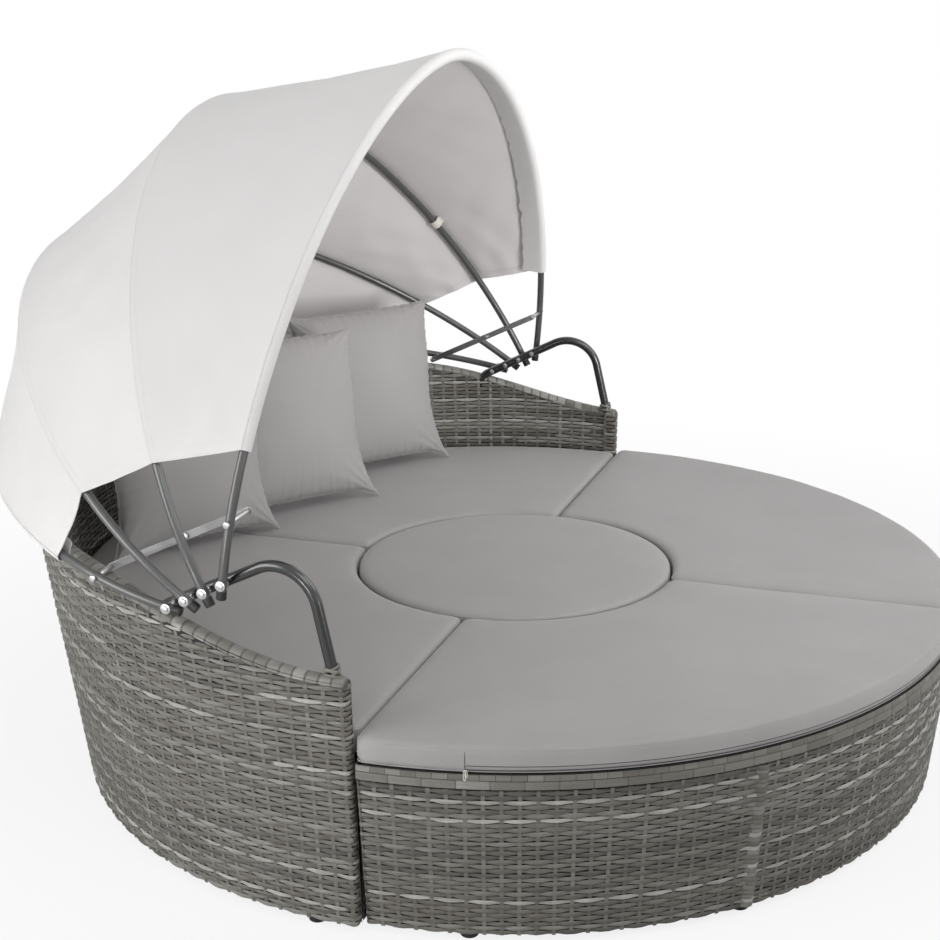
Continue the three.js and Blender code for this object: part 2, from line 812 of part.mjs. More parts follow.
/** An arch in the plane that leaves a pivot at an angle above straight back. */
class Arch extends THREE.Curve {
  constructor({ pivot, angle, reach }) {
    super();
    Object.assign(this, { pivot, angle, reach });
  }

  /** Place across the daybed and away from the pivot; turn runs from the left foot to the right one. */
  flat(turn) {
    const power = 2 / bowExponent;
    const across = -Math.sign(Math.cos(turn)) * bowHalfWidth * Math.abs(Math.cos(turn)) ** power;
    return new THREE.Vector2(across, this.reach * Math.sin(turn) ** power);
  }

  lift(across, away) {
    return new THREE.Vector3(
      across,
      this.pivot.x + away * Math.cos(this.angle),
      this.pivot.y + away * Math.sin(this.angle),
    );
  }

  getPoint(share, target = new THREE.Vector3()) {
    const flat = this.flat(Math.PI * share);
    return target.copy(this.lift(flat.x, flat.y));
  }

  /** Unit vector that points forward out of the arch's plane. */
  get forward() {
    return new THREE.Vector3(0, -Math.sin(this.angle), Math.cos(this.angle));
  }

  /** Points of a bow with straight feet that reach a little past the pivots. */
  bowPoints() {
    const foot = (side) => [this.lift(side * bowHalfWidth, -bowTail), this.lift(side * bowHalfWidth, bowFoot)];
    const points = foot(-1);
    for (let i = 1; i < bowSteps; i += 1) points.push(this.getPoint(i / bowSteps));
    return [...points, ...foot(1).reverse()];
  }

  /** The bow's own points from one side hem of the cover to the other. */
  hemToHem(hem) {
    const at = (step) => this.getPoint(step / bowSteps);
    const awayOf = (point) => Math.hypot(point.y - this.pivot.x, point.z - this.pivot.y);
    const end = (outer, inner) => {
      const share = (hem - awayOf(outer)) / (awayOf(inner) - awayOf(outer));
      return outer.clone().lerp(inner, share);
    };
    const points = [end(at(hemStep), at(hemStep + 1))];
    for (let i = hemStep + 1; i < bowSteps - hemStep; i += 1) points.push(at(i));
    return [...points, end(at(bowSteps - hemStep), at(bowSteps - hemStep - 1))];
  }
}

const bows = [
  { name: 'bow_front', pivot: pivots[0], angle: frontBowAngle, reach: bowReach, hem: hemFront },
  { name: 'bow_middle', pivot: pivots[1], angle: middleBowAngle, reach: bowReach, hem: hemMiddle },
  { name: 'bow_rear', pivot: pivots[2], angle: rearBowAngle, reach: bowReach, hem: hemRear },
  { name: 'bow_base', pivot: pivots[3], angle: baseBowAngle, reach: baseBowReach, hem: hemBase },
];

/** A hole for a bolt along X. */
function boltHole(y, z, halfLength) {
  return turned([[0, -halfLength], [boltRadius + boltPlay, -halfLength], [boltRadius + boltPlay, halfLength],
    [0, halfLength]]).translate(0, y, z);
}

const onBow = ({ pivot, angle }, reach) =>
  [pivot.x + reach * Math.cos(angle), pivot.y + reach * Math.sin(angle)];

/** Half the width of a bow at a distance from its pivots. */
const bowSpan = ({ reach }, away) => bowHalfWidth * (1 - (away / reach) ** bowExponent) ** (1 / bowExponent);

/** Stays hang on the front bow and on the base bow, at these distances from their pivots. */
const stayHeights = { bow_front: stayFrontHeight, bow_base: stayRearReach };

function bowTube(bow) {
  const holes = [boltHole(bow.pivot.x, bow.pivot.y, bowHalfWidth * 2)];
  if (stayHeights[bow.name]) holes.push(boltHole(...onBow(bow, stayHeights[bow.name]), bowHalfWidth * 2));
  const arch = new Arch(bow);
  const bare = tube(arch.bowPoints(), arch.forward, bowRadius);
  return cut(join(bare, ...bowCaps(bow)), ...holes);
}

/** Rounded caps on the ends of a bow. */
function bowCaps(bow) {
  return [-1, 1].map((side) => {
    const outer = bowRadius + capWall;
    const profile = [[0, 0], [outer, 0], [outer, capLength / 2], [outer / 2, capLength], [0, capLength]];
    const points = profile.map(([radius, along]) => new THREE.Vector2(radius, along));
    const cap = new THREE.LatheGeometry(points, tubeSides);
    cap.applyQuaternion(new THREE.Quaternion().setFromUnitVectors(
      new THREE.Vector3(0, 1, 0),
      new THREE.Vector3(0, -Math.cos(bow.angle), -Math.sin(bow.angle)),
    ));
    return cap.translate(side * bowHalfWidth, ...onBow(bow, capLength / 2 - bowTail));
  });
}

// bolts

/** Half the width of the arm tubes at a depth. */
const armSpan = (y) => armSpanFront - armYaw * (y - armFront);

/** Bolt, washers, spacer and nut that hold one foot of a bow on its arm tube, on the +X side. */
function pivotBolt(pivot) {
  const slant = Math.abs(armYaw) * washerRadius;
  const tubeIn = armSpan(pivot.x) - armTubeRadius - clearance - slant;
  const tubeOut = armSpan(pivot.x) + armTubeRadius + clearance + slant;
  const bowIn = bowHalfWidth - bowRadius - clearance;
  const bowOut = bowHalfWidth + bowRadius + clearance;
  return turned([
    [0, tubeIn - washerThickness - boltHeadHeight],
    [boltHeadRadius, tubeIn - washerThickness - boltHeadHeight],
    [boltHeadRadius, tubeIn - washerThickness],
    [washerRadius, tubeIn - washerThickness],
    [washerRadius, tubeIn],
    [boltRadius, tubeIn],
    [boltRadius, tubeOut],
    [spacerRadius, tubeOut],
    [spacerRadius, bowIn],
    [boltRadius, bowIn],
    [boltRadius, bowOut],
    [washerRadius, bowOut],
    [washerRadius, bowOut + washerThickness],
    [boltHeadRadius, bowOut + washerThickness],
    [boltHeadRadius / 2, bowOut + washerThickness + boltHeadHeight],
    [0, bowOut + washerThickness + boltHeadHeight],
  ]).translate(0, pivot.x, pivot.y);
}

/** The same solid on the other side of the daybed. */
function mirrored(geometry) {
  return outward(mergeVertices(geometry.clone().scale(-1, 1, 1)));
}

// stays

const frontStayPin = new THREE.Vector2(...onBow(bows[0], stayFrontHeight));
const rearStayPin = new THREE.Vector2(...onBow(bows[3], stayRearReach));
const stayLine = rearStayPin.clone().sub(frontStayPin);
const stayElbow = frontStayPin.clone().add(stayLine.clone().setLength(stayFrontLength));

/** Across the daybed, a single front bar lies between two rear bars, inside all the bows, folded or raised. */
const stayInside = bowSpan(bows[0], stayCrossing) - bowRadius - stayOffset;
const frontBarIn = stayInside - stayThickness - stayGap - stayThickness;
const frontBarOut = frontBarIn + stayThickness;
const rearBarsIn = frontBarIn - stayGap - stayThickness;
const rearBarsOut = frontBarOut + stayGap + stayThickness;

/** A flat bar with round ends between two pins, with its faces square to X. */
function bar(from, to, inside, outside, holes = []) {
  const length = from.distanceTo(to);
  const turn = to.clone().sub(from).angle();
  const shape = new THREE.Shape();
  shape.absarc(0, 0, stayWidth / 2, Math.PI / 2, Math.PI * 1.5);
  shape.absarc(length, 0, stayWidth / 2, -Math.PI / 2, Math.PI / 2);
  for (const along of holes) {
    shape.holes.push(
      new THREE.Path(ringOfPoints(boltRadius + boltPlay, tubeSides).map((p) => p.clone().setX(p.x + along))),
    );
  }
  const geometry = new THREE.ExtrudeGeometry(
    shape,
    { depth: outside - inside, bevelEnabled: false, curveSegments: 5 },
  );
  const basis = new THREE.Matrix4().makeBasis(
    new THREE.Vector3(0, Math.cos(turn), Math.sin(turn)),
    new THREE.Vector3(0, -Math.sin(turn), Math.cos(turn)),
    new THREE.Vector3(1, 0, 0),
  );
  return geometry.applyMatrix4(basis).translate(inside, from.x, from.y);
}

/** A rivet head on a face square to X. */
function rivetHead(pin, face, direction) {
  const end = face + direction * stayRivetHeight;
  const profile = direction > 0
    ? [[0, face], [stayRivetRadius, face], [stayRivetRadius / 2, end], [0, end]]
    : [[0, end], [stayRivetRadius / 2, end], [stayRivetRadius, face], [0, face]];
  return turned(profile).translate(0, pin.x, pin.y);
}

function frontStay() {
  return bar(frontStayPin, stayElbow, frontBarIn, frontBarOut, [0]);
}

function rearStay() {
  const length = stayElbow.distanceTo(rearStayPin);
  const inner = bar(stayElbow, rearStayPin, rearBarsIn, rearBarsIn + stayThickness, [length]);
  const outer = bar(stayElbow, rearStayPin, rearBarsOut - stayThickness, rearBarsOut, [length]);
  const joinStart = stayElbow.clone().lerp(rearStayPin, 1 - stayWidth * 2 / length);
  const joinEnd = stayElbow.clone().lerp(rearStayPin, 1 - stayWidth / length);
  const spacer = bar(joinStart, joinEnd, rearBarsIn + stayThickness / 2, rearBarsOut - stayThickness / 2);
  return join(
    inner,
    outer,
    spacer,
    rivetHead(stayElbow, rearBarsIn + stayGap / 2, -1),
    rivetHead(stayElbow, rearBarsOut - stayGap / 2, 1),
  );
}

/** Bolt that holds the end of a stay on a bow: a head inside the bars, a spacer, and a nut outside the bow. */
function stayBolt(bow, barsIn, barsOut) {
  const away = stayHeights[bow.name];
  const slant = (bowSpan(bow, away - boltHeadRadius) - bowSpan(bow, away + boltHeadRadius)) / 2 + bowStepSag;
  const headIn = barsIn - clearance;
  const spacerIn = barsOut + clearance;
  const spacerOut = bowSpan(bow, away) - bowRadius - slant;
  const bowOut = bowSpan(bow, away) + bowRadius + slant;
  return turned([
    [0, headIn - stayRivetHeight],
    [stayRivetRadius, headIn - stayRivetHeight],
    [stayRivetRadius, headIn],
    [boltRadius, headIn],
    [boltRadius, spacerIn],
    [stayRivetRadius, spacerIn],
    [stayRivetRadius, spacerOut],
    [boltRadius, spacerOut],
    [boltRadius, bowOut],
    [boltHeadRadius, bowOut],
    [boltHeadRadius / 2, bowOut + boltHeadHeight],
    [0, bowOut + boltHeadHeight],
  ]).translate(0, ...onBow(bow, away));
}

// canopy cover

/** Points of a bow from hem to hem, moved out of the bow in its own plane. */
function raised(bow, distance) {
  const arch = new Arch(bow);
  const points = arch.hemToHem(bow.hem);
  const steps = mitres(points, arch.forward);
  return points.map((point, i) => point.clone().addScaledVector(steps[i], distance));
}

/** Cloth stretched from one bow to the next, with a little sag between them. */
function clothPanel(front, rear) {
  const hub = front.pivot.clone().add(rear.pivot).multiplyScalar(1 / 2);
  const skin = (distance) => {
    const near = raised(front, distance);
    const far = raised(rear, distance);
    return near.map((start, i) => Array.from({ length: clothRows + 1 }, (_, row) => {
      const margin = clearance / start.distanceTo(far[i]);
      const share = THREE.MathUtils.lerp(margin, 1 - margin, row / clothRows);
      const point = start.clone().lerp(far[i], share);
      const inward = new THREE.Vector3(-point.x, hub.x - point.y, hub.y - point.z).normalize();
      return point.addScaledVector(inward, clothSag * 4 * share * (1 - share));
    }));
  };
  const outer = skin(clothOuter);
  const inner = skin(clothInner);
  return loft(outer.map((row, i) => [...row, ...inner[i].slice().reverse()]));
}

/** The cover's edge, folded round a bow and sewn back on the inside as a pocket; it faces forward or back. */
function clothPocket(bow, facing) {
  const arch = new Arch(bow);
  const points = arch.hemToHem(bow.hem);
  const steps = mitres(points, arch.forward);
  const forward = arch.forward.multiplyScalar(facing);
  return loft(points.map((centre, i) => {
    const at = (ahead, out) => centre.clone().addScaledVector(forward, ahead).addScaledVector(steps[i], out);
    const arc = (radius) => Array.from({ length: pocketSteps + 1 }, (_, k) => {
      const turn = (k / pocketSteps) * Math.PI;
      const seam = k === 0 ? clearance : 0;
      return at(Math.sin(turn) * radius + seam, Math.cos(turn) * radius);
    });
    const tail = -clothInner - pocketDrop;
    return [...arc(clothOuter), at(-pocketDepth, tail - clothThickness), at(-pocketDepth, tail),
      ...arc(clothInner).reverse()];
  }));
}

/** A webbing loop that holds the cover on the middle bow, on the bow's straight step with this number. */
function strap(place) {
  const points = new Arch(bows[1]).bowPoints();
  const [start, end] = [points[place], points[place + 1]];
  const ring = new THREE.Shape(ringOfPoints(bowRadius + clearance + strapThickness, smallTurnSteps * 2));
  ring.holes.push(new THREE.Path(ringOfPoints(bowRadius + clearance, smallTurnSteps * 2)));
  const loop = new THREE.ExtrudeGeometry(ring, { depth: strapWidth, bevelEnabled: false });
  loop.translate(0, 0, -strapWidth / 2);
  const along = end.clone().sub(start).normalize();
  loop.applyQuaternion(new THREE.Quaternion().setFromUnitVectors(new THREE.Vector3(0, 0, 1), along));
  const centre = start.clone().lerp(end, 1 / 2);
  return loop.translate(centre.x, centre.y, centre.z);
}

// bolts on the back

function rearBolt(bearing) {
  const z = backHeight - rearBoltDrop;
  const radius = backRadius(bearing, z) + clearance;
  const bolt = turned([[0, 0], [washerRadius, 0], [washerRadius, washerThickness],
    [boltHeadRadius, washerThickness],
    [boltHeadRadius / 2, washerThickness + boltHeadHeight], [0, washerThickness + boltHeadHeight]]);
  const tip = Math.atan(backLeanRear);
  bolt.rotateY(tip);
  bolt.rotateZ(bearing);
  return bolt.translate(radius * Math.cos(bearing), radius * Math.sin(bearing), z);
}

// assembly

for (const [quarter, name] of [['frontLeft', 'front_left'], ['frontRight', 'front_right']]) {
  const turn = quarters.indexOf(quarter) * 90;
  const outerFeet = feetOn(baseRadiusBottom - footInset, outerFeetBearings.map((bearing) => bearing + turn));
  const innerFeet = feetOn(recessRadius + footInset, innerFeetBearings.map((bearing) => bearing + turn));
  addPiece(`${name}_skirt`, onFeet(quarterSkirt(quarter), outerFeet, innerFeet), wickerFinish());
  addPiece(`${name}_rail`, quarterRail(quarter), railFinish());
  addPiece(`${name}_deck`, quarterDeck(quarter), deckFinish());
  addPiece(`${name}_cushion`, quarterCushion(quarter, frontReach), cushionFinish());
}

const stoolFeet = feetOn(stoolRadius - stoolTaper - footInset, stoolFeetBearings);
addPiece('stool_skirt', onFeet(stoolSkirt(), stoolFeet), wickerFinish());
addPiece('stool_rail', stoolRail(), railFinish());
addPiece('stool_deck', stoolDeck(), deckFinish());
addPiece('stool_cushion', centreCushion(), cushionFinish());

const wallWithHoles = cut(backWall(), ...[-1, 1].map((side) => armTube(side, armTubeRadius + clearance)));
addPiece(
  'back_wall',
  onFeet(wallWithHoles, feetOn(backRadiusBottom - footInset, sofaFeetBearings)),
  wickerFinish(),
);
addPiece(
  'back_apron',
  onFeet(backApron(), feetOn(recessRadius + apronThickness / 2, sofaInnerFeetBearings)),
  wickerFinish(),
);
addPiece('back_deck', backDeck(), deckFinish());
addPiece('back_left_cushion', quarterCushion('backLeft', insideBackLeft), cushionFinish());
addPiece('back_right_cushion', quarterCushion('backRight', insideBackRight), cushionFinish());
addPiece('back_bolt_right', rearBolt(rearBoltTurn), zincFinish());
addPiece('back_bolt_left', rearBolt(Math.PI - rearBoltTurn), zincFinish());

pillows.forEach(placePillow);

for (const [side, name] of [[-1, 'left'], [1, 'right']]) {
  const holes = pivots.map((pivot) => boltHole(pivot.x, pivot.y, bowHalfWidth * 2));
  addPiece(`arm_tube_${name}`, cut(armTube(side, armTubeRadius), ...holes), tubeFinish());
  const place = side < 0 ? mirrored : (geometry) => geometry;
  bows.forEach((bow) => addPiece(`${bow.name}_bolt_${name}`, place(pivotBolt(bow.pivot)), zincFinish()));
  addPiece(`stay_front_${name}`, place(frontStay()), stayFinish());
  addPiece(`stay_rear_${name}`, place(rearStay()), stayFinish());
  addPiece(`stay_bolt_front_${name}`, place(stayBolt(bows[0], frontBarIn, frontBarOut)), zincFinish());
  addPiece(`stay_bolt_rear_${name}`, place(stayBolt(bows[3], rearBarsIn, rearBarsOut)), zincFinish());
}

for (const bow of bows) addPiece(bow.name, bowTube(bow), tubeFinish());

addPiece('cover_front_panel', clothPanel(bows[0], bows[1]), clothFinish());
addPiece('cover_middle_panel', clothPanel(bows[1], bows[2]), clothFinish());
addPiece('cover_rear_panel', clothPanel(bows[2], bows[3]), clothFinish());
addPiece('cover_front_pocket', clothPocket(bows[0], 1), clothFinish());
addPiece('cover_rear_pocket', clothPocket(bows[3], -1), clothFinish());
addPiece('cover_strap_left', strap(strapPlace), strapFinish());
addPiece('cover_strap_right', strap(bowSteps + 1 - strapPlace), strapFinish());

// The origin is on the floor, under the middle of the daybed's length and width.
const outline = new THREE.Box3().setFromObject(daybed);
const middle = outline.getCenter(new THREE.Vector3());
daybed.position.set(-middle.x, -middle.y, -outline.min.z);

export default daybed;
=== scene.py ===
"""A round outdoor daybed with a folding canopy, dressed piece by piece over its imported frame."""

import logging
import math
from collections.abc import Callable, Sequence
from dataclasses import dataclass, field
from enum import Enum

import bpy
import numpy as np
from mathutils import Matrix, Vector
from mathutils.kdtree import KDTree


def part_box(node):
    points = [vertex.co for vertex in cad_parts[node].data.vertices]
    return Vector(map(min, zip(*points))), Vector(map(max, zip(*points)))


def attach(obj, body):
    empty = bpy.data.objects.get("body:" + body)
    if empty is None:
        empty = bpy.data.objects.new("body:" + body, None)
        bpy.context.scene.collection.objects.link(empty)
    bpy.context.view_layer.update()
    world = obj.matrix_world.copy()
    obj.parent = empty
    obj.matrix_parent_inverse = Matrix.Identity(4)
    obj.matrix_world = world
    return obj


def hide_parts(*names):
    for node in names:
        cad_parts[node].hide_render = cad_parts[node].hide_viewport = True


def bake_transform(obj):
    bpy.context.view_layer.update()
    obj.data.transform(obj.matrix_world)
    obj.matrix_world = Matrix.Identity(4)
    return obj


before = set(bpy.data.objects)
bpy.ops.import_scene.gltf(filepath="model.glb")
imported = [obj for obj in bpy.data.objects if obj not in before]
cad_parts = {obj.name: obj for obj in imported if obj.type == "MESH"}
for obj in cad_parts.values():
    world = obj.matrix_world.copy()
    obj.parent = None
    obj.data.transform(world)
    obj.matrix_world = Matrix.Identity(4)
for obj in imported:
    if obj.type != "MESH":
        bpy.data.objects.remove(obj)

logging.basicConfig(level=logging.INFO, format="%(message)s")
log = logging.getLogger("daybed")

Array = np.ndarray
Triple = tuple[float, float, float]
Piece = bpy.types.Object
Material = bpy.types.Material
Socket = bpy.types.NodeSocket
Stops = Sequence[tuple[float, Triple]]
Pairs = Sequence[tuple[float, float]]
Outline = Callable[[float], Array]


# shared sizes


@dataclass(frozen=True)
class Layout:
    """Sizes that several sub-assemblies share, in metres, about the middle of the round stool."""

    centre_y: float
    foot_height: float = 0.013
    deck_height: float = 0.327
    rail_height: float = 0.027
    rail_groove: float = 0.002
    rail_width: float = 0.030
    rail_proud: float = 0.003
    base_radius_top: float = 0.900
    base_radius_bottom: float = 0.868
    recess_radius: float = 0.336
    module_gap: float = 0.003
    wall: float = 0.028
    stool_radius: float = 0.325
    stool_taper: float = 0.008
    back_radius_bottom: float = 0.886
    back_thickness: float = 0.028
    lean_front: float = 0.05
    lean_rear: float = 0.1375
    turn: float = math.radians(36)
    arm_height: float = 0.478
    back_height: float = 0.590
    glide_inset: float = 0.024

    @property
    def skirt_top(self) -> float:
        """Upper edge of the woven skirts."""
        return self.deck_height - self.rail_height - self.rail_groove

    @property
    def rail_bottom(self) -> float:
        """Lower edge of the wrapped rails, at the far side of their groove."""
        return self.skirt_top + self.rail_groove + 0.0002

    def skirt_share(self, z: float) -> float:
        """Share of a skirt's height at a height above the floor."""
        return (z - self.foot_height) / (self.skirt_top - self.foot_height)

    def back_radius(self, bearing: Array, z: Array) -> Array:
        """Outer radius of the leaning back.

        Args:
            bearing: Angles between the two arms, in radians.
            z: Heights above the floor.

        Returns:
            Radii about the middle of the round stool.
        """
        near = np.minimum(bearing, math.pi - bearing)
        share = np.sin(np.clip(near / self.turn, 0, 1) * math.pi / 2)
        lean = self.lean_front + (self.lean_rear - self.lean_front) * share
        return self.back_radius_bottom + lean * (z - self.foot_height)

    def rim_height(self, bearing: Array) -> Array:
        """Height of the back's rim.

        Args:
            bearing: Angles between the two arms, in radians.

        Returns:
            Heights above the floor.
        """
        share = np.clip(np.minimum(bearing, math.pi - bearing) / self.turn, 0, 1)
        share = share * share * (3 - 2 * share)
        return self.arm_height + (self.back_height - self.arm_height) * share

    def in_row(self, points: Array) -> Array:
        """Points about the stool's middle, moved into the row frame."""
        return np.asarray(points, float) + np.array([0.0, self.centre_y, 0.0])


def stool_centre() -> float:
    """Depth of the round stool's middle in the row frame."""
    low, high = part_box("stool_skirt")
    return (low.y + high.y) / 2


LAYOUT = Layout(centre_y=stool_centre())


class Side(Enum):
    """The two sides of the daybed, as seen from the front."""

    LEFT = -1
    RIGHT = 1

    @property
    def label(self) -> str:
        """The side's name in piece names."""
        return self.name.lower()


# materials


class Tree:
    """A small builder for a node tree."""

    def __init__(self, owner: Material | bpy.types.World) -> None:
        """Starts with the nodes that a material or world comes with."""
        owner.use_nodes = True
        self.tree = owner.node_tree

    def add(self, kind: str, **values: object) -> bpy.types.Node:
        """Adds a node and sets its properties or unlinked inputs.

        Args:
            kind: Blender's node type.
            values: Property names, or input names with spaces written as double underscores.

        Returns:
            The node.
        """
        node = self.tree.nodes.new(kind)
        for key, value in values.items():
            name = key.replace("__", " ")
            if name in node.inputs:
                node.inputs[name].default_value = value
            else:
                setattr(node, key, value)
        return node

    def link(self, source: Socket, target: Socket) -> None:
        """Joins an output to an input."""
        self.tree.links.new(source, target)

    def combined(self, operation: str, first: Socket, second: Socket) -> Socket:
        """The sum or product of two values, kept between 0 and 1.

        Args:
            operation: Blender's name for the sum or product.
            first: One value.
            second: The other.

        Returns:
            The result.
        """
        node = self.add("ShaderNodeMath", operation=operation, use_clamp=True)
        self.link(first, node.inputs[0])
        self.link(second, node.inputs[1])
        return node.outputs[0]

    def mix(self, share: Socket, first: bpy.types.Node, second: bpy.types.Node, output: str) -> None:
        """Sends a mix of two shaders to an output node.

        Args:
            share: Share of the second shader.
            first: The first shader.
            second: The second shader.
            output: Name of the output node.
        """
        mix = self.add("ShaderNodeMixShader")
        self.link(share, mix.inputs[0])
        self.link(first.outputs[0], mix.inputs[1])
        self.link(second.outputs[0], mix.inputs[2])
        self.link(mix.outputs[0], self.tree.nodes[output].inputs["Surface"])


class Nodes(Tree):
    """A small builder for one material's node tree."""

    def __init__(self, name: str) -> None:
        """Starts a material of a name with a Principled shader.

        Args:
            name: The name.
        """
        self.material = bpy.data.materials.new(name)
        super().__init__(self.material)
        self.shader = self.tree.nodes["Principled BSDF"]

    def plain(self, **values: object) -> None:
        """Sets values on the shader's own sockets, with spaces written as double underscores."""
        for key, value in values.items():
            self.shader.inputs[key.replace("__", " ")].default_value = value

    def place(self, scale: Triple) -> Socket:
        """Object coordinates at a scale along each axis.

        Args:
            scale: Scale along each axis.

        Returns:
            The coordinates.
        """
        coordinates = self.add("ShaderNodeTexCoord")
        mapping = self.add("ShaderNodeMapping")
        mapping.inputs["Scale"].default_value = scale
        self.link(coordinates.outputs["Object"], mapping.inputs["Vector"])
        return mapping.outputs["Vector"]

    def noise(self, scale: Triple, detail: float = 3.0) -> Socket:
        """Noise on object coordinates.

        Args:
            scale: Scale along each axis, in waves per metre.
            detail: Number of finer layers.

        Returns:
            The noise value.
        """
        texture = self.add("ShaderNodeTexNoise", Scale=1.0, Detail=detail)
        self.link(self.place(scale), texture.inputs["Vector"])
        return texture.outputs["Fac"]

    def waves(self, axis: str, per_metre: float, distortion: float = 0.6) -> Socket:
        """Fine parallel ridges across an axis.

        Args:
            axis: X, Y or Z.
            per_metre: Ridges in a metre.
            distortion: How far the ridges wander.

        Returns:
            The wave value.
        """
        texture = self.add("ShaderNodeTexWave", wave_type="BANDS", bands_direction=axis)
        texture.inputs["Scale"].default_value = per_metre * math.pi / 10
        texture.inputs["Distortion"].default_value = distortion
        texture.inputs["Detail"].default_value = 1.0
        coordinates = self.add("ShaderNodeTexCoord")
        self.link(coordinates.outputs["Object"], texture.inputs["Vector"])
        return texture.outputs["Fac"]

    def colour(self, value: Socket, stops: Stops) -> None:
        """Colours the surface by a value.

        Args:
            value: The value to read.
            stops: Places between 0 and 1 with their colours.
        """
        ramp = self.add("ShaderNodeValToRGB")
        elements = ramp.color_ramp.elements
        while len(elements) < len(stops):
            elements.new(0.5)
        for element, (place, colour) in zip(elements, stops):
            element.position = place
            element.color = (*colour, 1.0)
        self.link(value, ramp.inputs["Fac"])
        self.link(ramp.outputs["Color"], self.shader.inputs["Base Color"])

    def mottle(self, colour: Triple, shade: float, per_metre: float) -> None:
        """Colours the surface unevenly.

        Args:
            colour: The lighter colour.
            shade: Brightness of the darker colour, as a share of the lighter.
            per_metre: Waves of the noise in a metre.
        """
        darker = tuple(c * shade for c in colour)
        self.colour(self.noise((per_metre, per_metre, per_metre)), [(0.3, darker), (0.7, colour)])

    def sum(self, first: Socket, second: Socket, share: float) -> Socket:
        """First plus a share of second, less half that share.

        Args:
            first: The value.
            second: What is added.
            share: How much of it.

        Returns:
            The sum.
        """
        scaled = self.add("ShaderNodeMath", operation="MULTIPLY_ADD")
        self.link(second, scaled.inputs[0])
        scaled.inputs[1].default_value = share
        scaled.inputs[2].default_value = -share / 2
        return self.combined("ADD", first, scaled.outputs[0])

    def bump(self, value: Socket, height: float, strength: float = 1.0) -> None:
        """Raises the surface by a value.

        Args:
            value: The value to read.
            height: Height of a full value, in metres.
            strength: Share of the effect.
        """
        node = self.add("ShaderNodeBump", Strength=strength, Distance=height)
        self.link(value, node.inputs["Height"])
        self.link(node.outputs["Normal"], self.shader.inputs["Normal"])


def linear(level: float, warmth: float = 0.0, green: float = 0.0) -> Triple:
    """A near-grey colour from a display level.

    Args:
        level: Brightness as shown on a display, from 0 to 1.
        warmth: Added to red and taken from blue.
        green: Added to green.

    Returns:
        Linear red, green and blue.
    """
    shown = (level + warmth, level + green, level - warmth)
    return tuple(((c + 0.055) / 1.055) ** 2.4 if c > 0.04045 else c / 12.92 for c in shown)


@dataclass(frozen=True)
class WickerFinish:
    """Flat plastic strips in mixed greys, each strip with its own tone and fine grooves along it."""

    name: str = "wicker"
    dark: Triple = linear(0.29, 0.012, 0.002)
    brown: Triple = linear(0.36, 0.020, 0.006)
    olive: Triple = linear(0.42, 0.016, 0.010)
    grey: Triple = linear(0.49, 0.012, 0.007)
    pale: Triple = linear(0.66, 0.014, 0.010)
    roughness: float = 0.45

    def material(self) -> Material:
        """Builds the material, which reads each strip's tone from its attribute.

        Returns:
            The material.
        """
        nodes = Nodes(self.name)
        tone = nodes.add("ShaderNodeAttribute", attribute_name="tone").outputs["Fac"]
        streak = nodes.noise((9, 9, 160), 4)
        value = nodes.sum(tone, streak, 0.45)
        stops = [(0.0, self.dark), (0.28, self.brown), (0.5, self.olive), (0.72, self.grey), (1.0, self.pale)]
        nodes.colour(value, stops)
        nodes.plain(Roughness=self.roughness, Specular__IOR__Level=0.5)
        nodes.bump(nodes.noise((30, 30, 1500), 2), 0.0006, 0.7)
        return nodes.material


@dataclass(frozen=True)
class ShadowFinish:
    """The dark inside of a woven wall, seen between the strips: painted shade, with the frame behind the
    weave.
    """

    name: str = "wicker_frame_and_shade"
    colour: Triple = linear(0.16)

    def material(self) -> Material:
        """Builds the material.

        Returns:
            The material.
        """
        nodes = Nodes(self.name)
        nodes.mottle(self.colour, 0.7, 60)
        nodes.plain(Roughness=0.9)
        return nodes.material


@dataclass(frozen=True)
class ClothFinish:
    """Plain woven cloth with fine crossing threads, slubs and a soft sheen."""

    name: str
    colour: Triple
    shade: Triple
    threads: float = 700.0
    sheen: float = 0.25
    roughness: float = 0.9

    def material(self) -> Material:
        """Builds the material on object coordinates.

        Returns:
            The material.
        """
        nodes = Nodes(self.name)
        wide = nodes.noise((6, 6, 6), 2)
        fine = nodes.noise((420, 420, 420), 2)
        value = nodes.sum(wide, fine, 0.5)
        nodes.colour(value, [(0.25, self.shade), (0.75, self.colour)])
        nodes.plain(Roughness=self.roughness, Sheen__Weight=self.sheen, Sheen__Roughness=0.4)
        warp = nodes.waves("X", self.threads)
        weft = nodes.waves("Y", self.threads)
        rise = nodes.waves("Z", self.threads)
        crossing = nodes.sum(nodes.sum(warp, weft, 0.8), rise, 0.8)
        nodes.bump(crossing, 0.0003, 0.5)
        return nodes.material


@dataclass(frozen=True)
class CoatedTubeFinish:
    """Dark grey gloss powder coat on steel tube."""

    name: str = "tube_coat"
    colour: Triple = linear(0.29, 0.0, 0.004)
    roughness: float = 0.34

    def material(self) -> Material:
        """Builds the material with a faint orange-peel surface.

        Returns:
            The material.
        """
        nodes = Nodes(self.name)
        nodes.mottle(self.colour, 0.85, 25)
        nodes.plain(Roughness=self.roughness, Specular__IOR__Level=0.6)
        nodes.plain(Coat__Weight=0.5, Coat__Roughness=0.15)
        nodes.bump(nodes.noise((900, 900, 900), 1), 0.0001, 0.3)
        return nodes.material


@dataclass(frozen=True)
class MetalFinish:
    """Bare or plated steel with fine scratches."""

    name: str
    colour: Triple
    roughness: float

    def material(self) -> Material:
        """Builds the material.

        Returns:
            The material.
        """
        nodes = Nodes(self.name)
        nodes.mottle(self.colour, 0.8, 300)
        nodes.plain(Metallic=1.0, Roughness=self.roughness)
        nodes.bump(nodes.noise((1200, 200, 200), 2), 0.00005, 0.4)
        return nodes.material


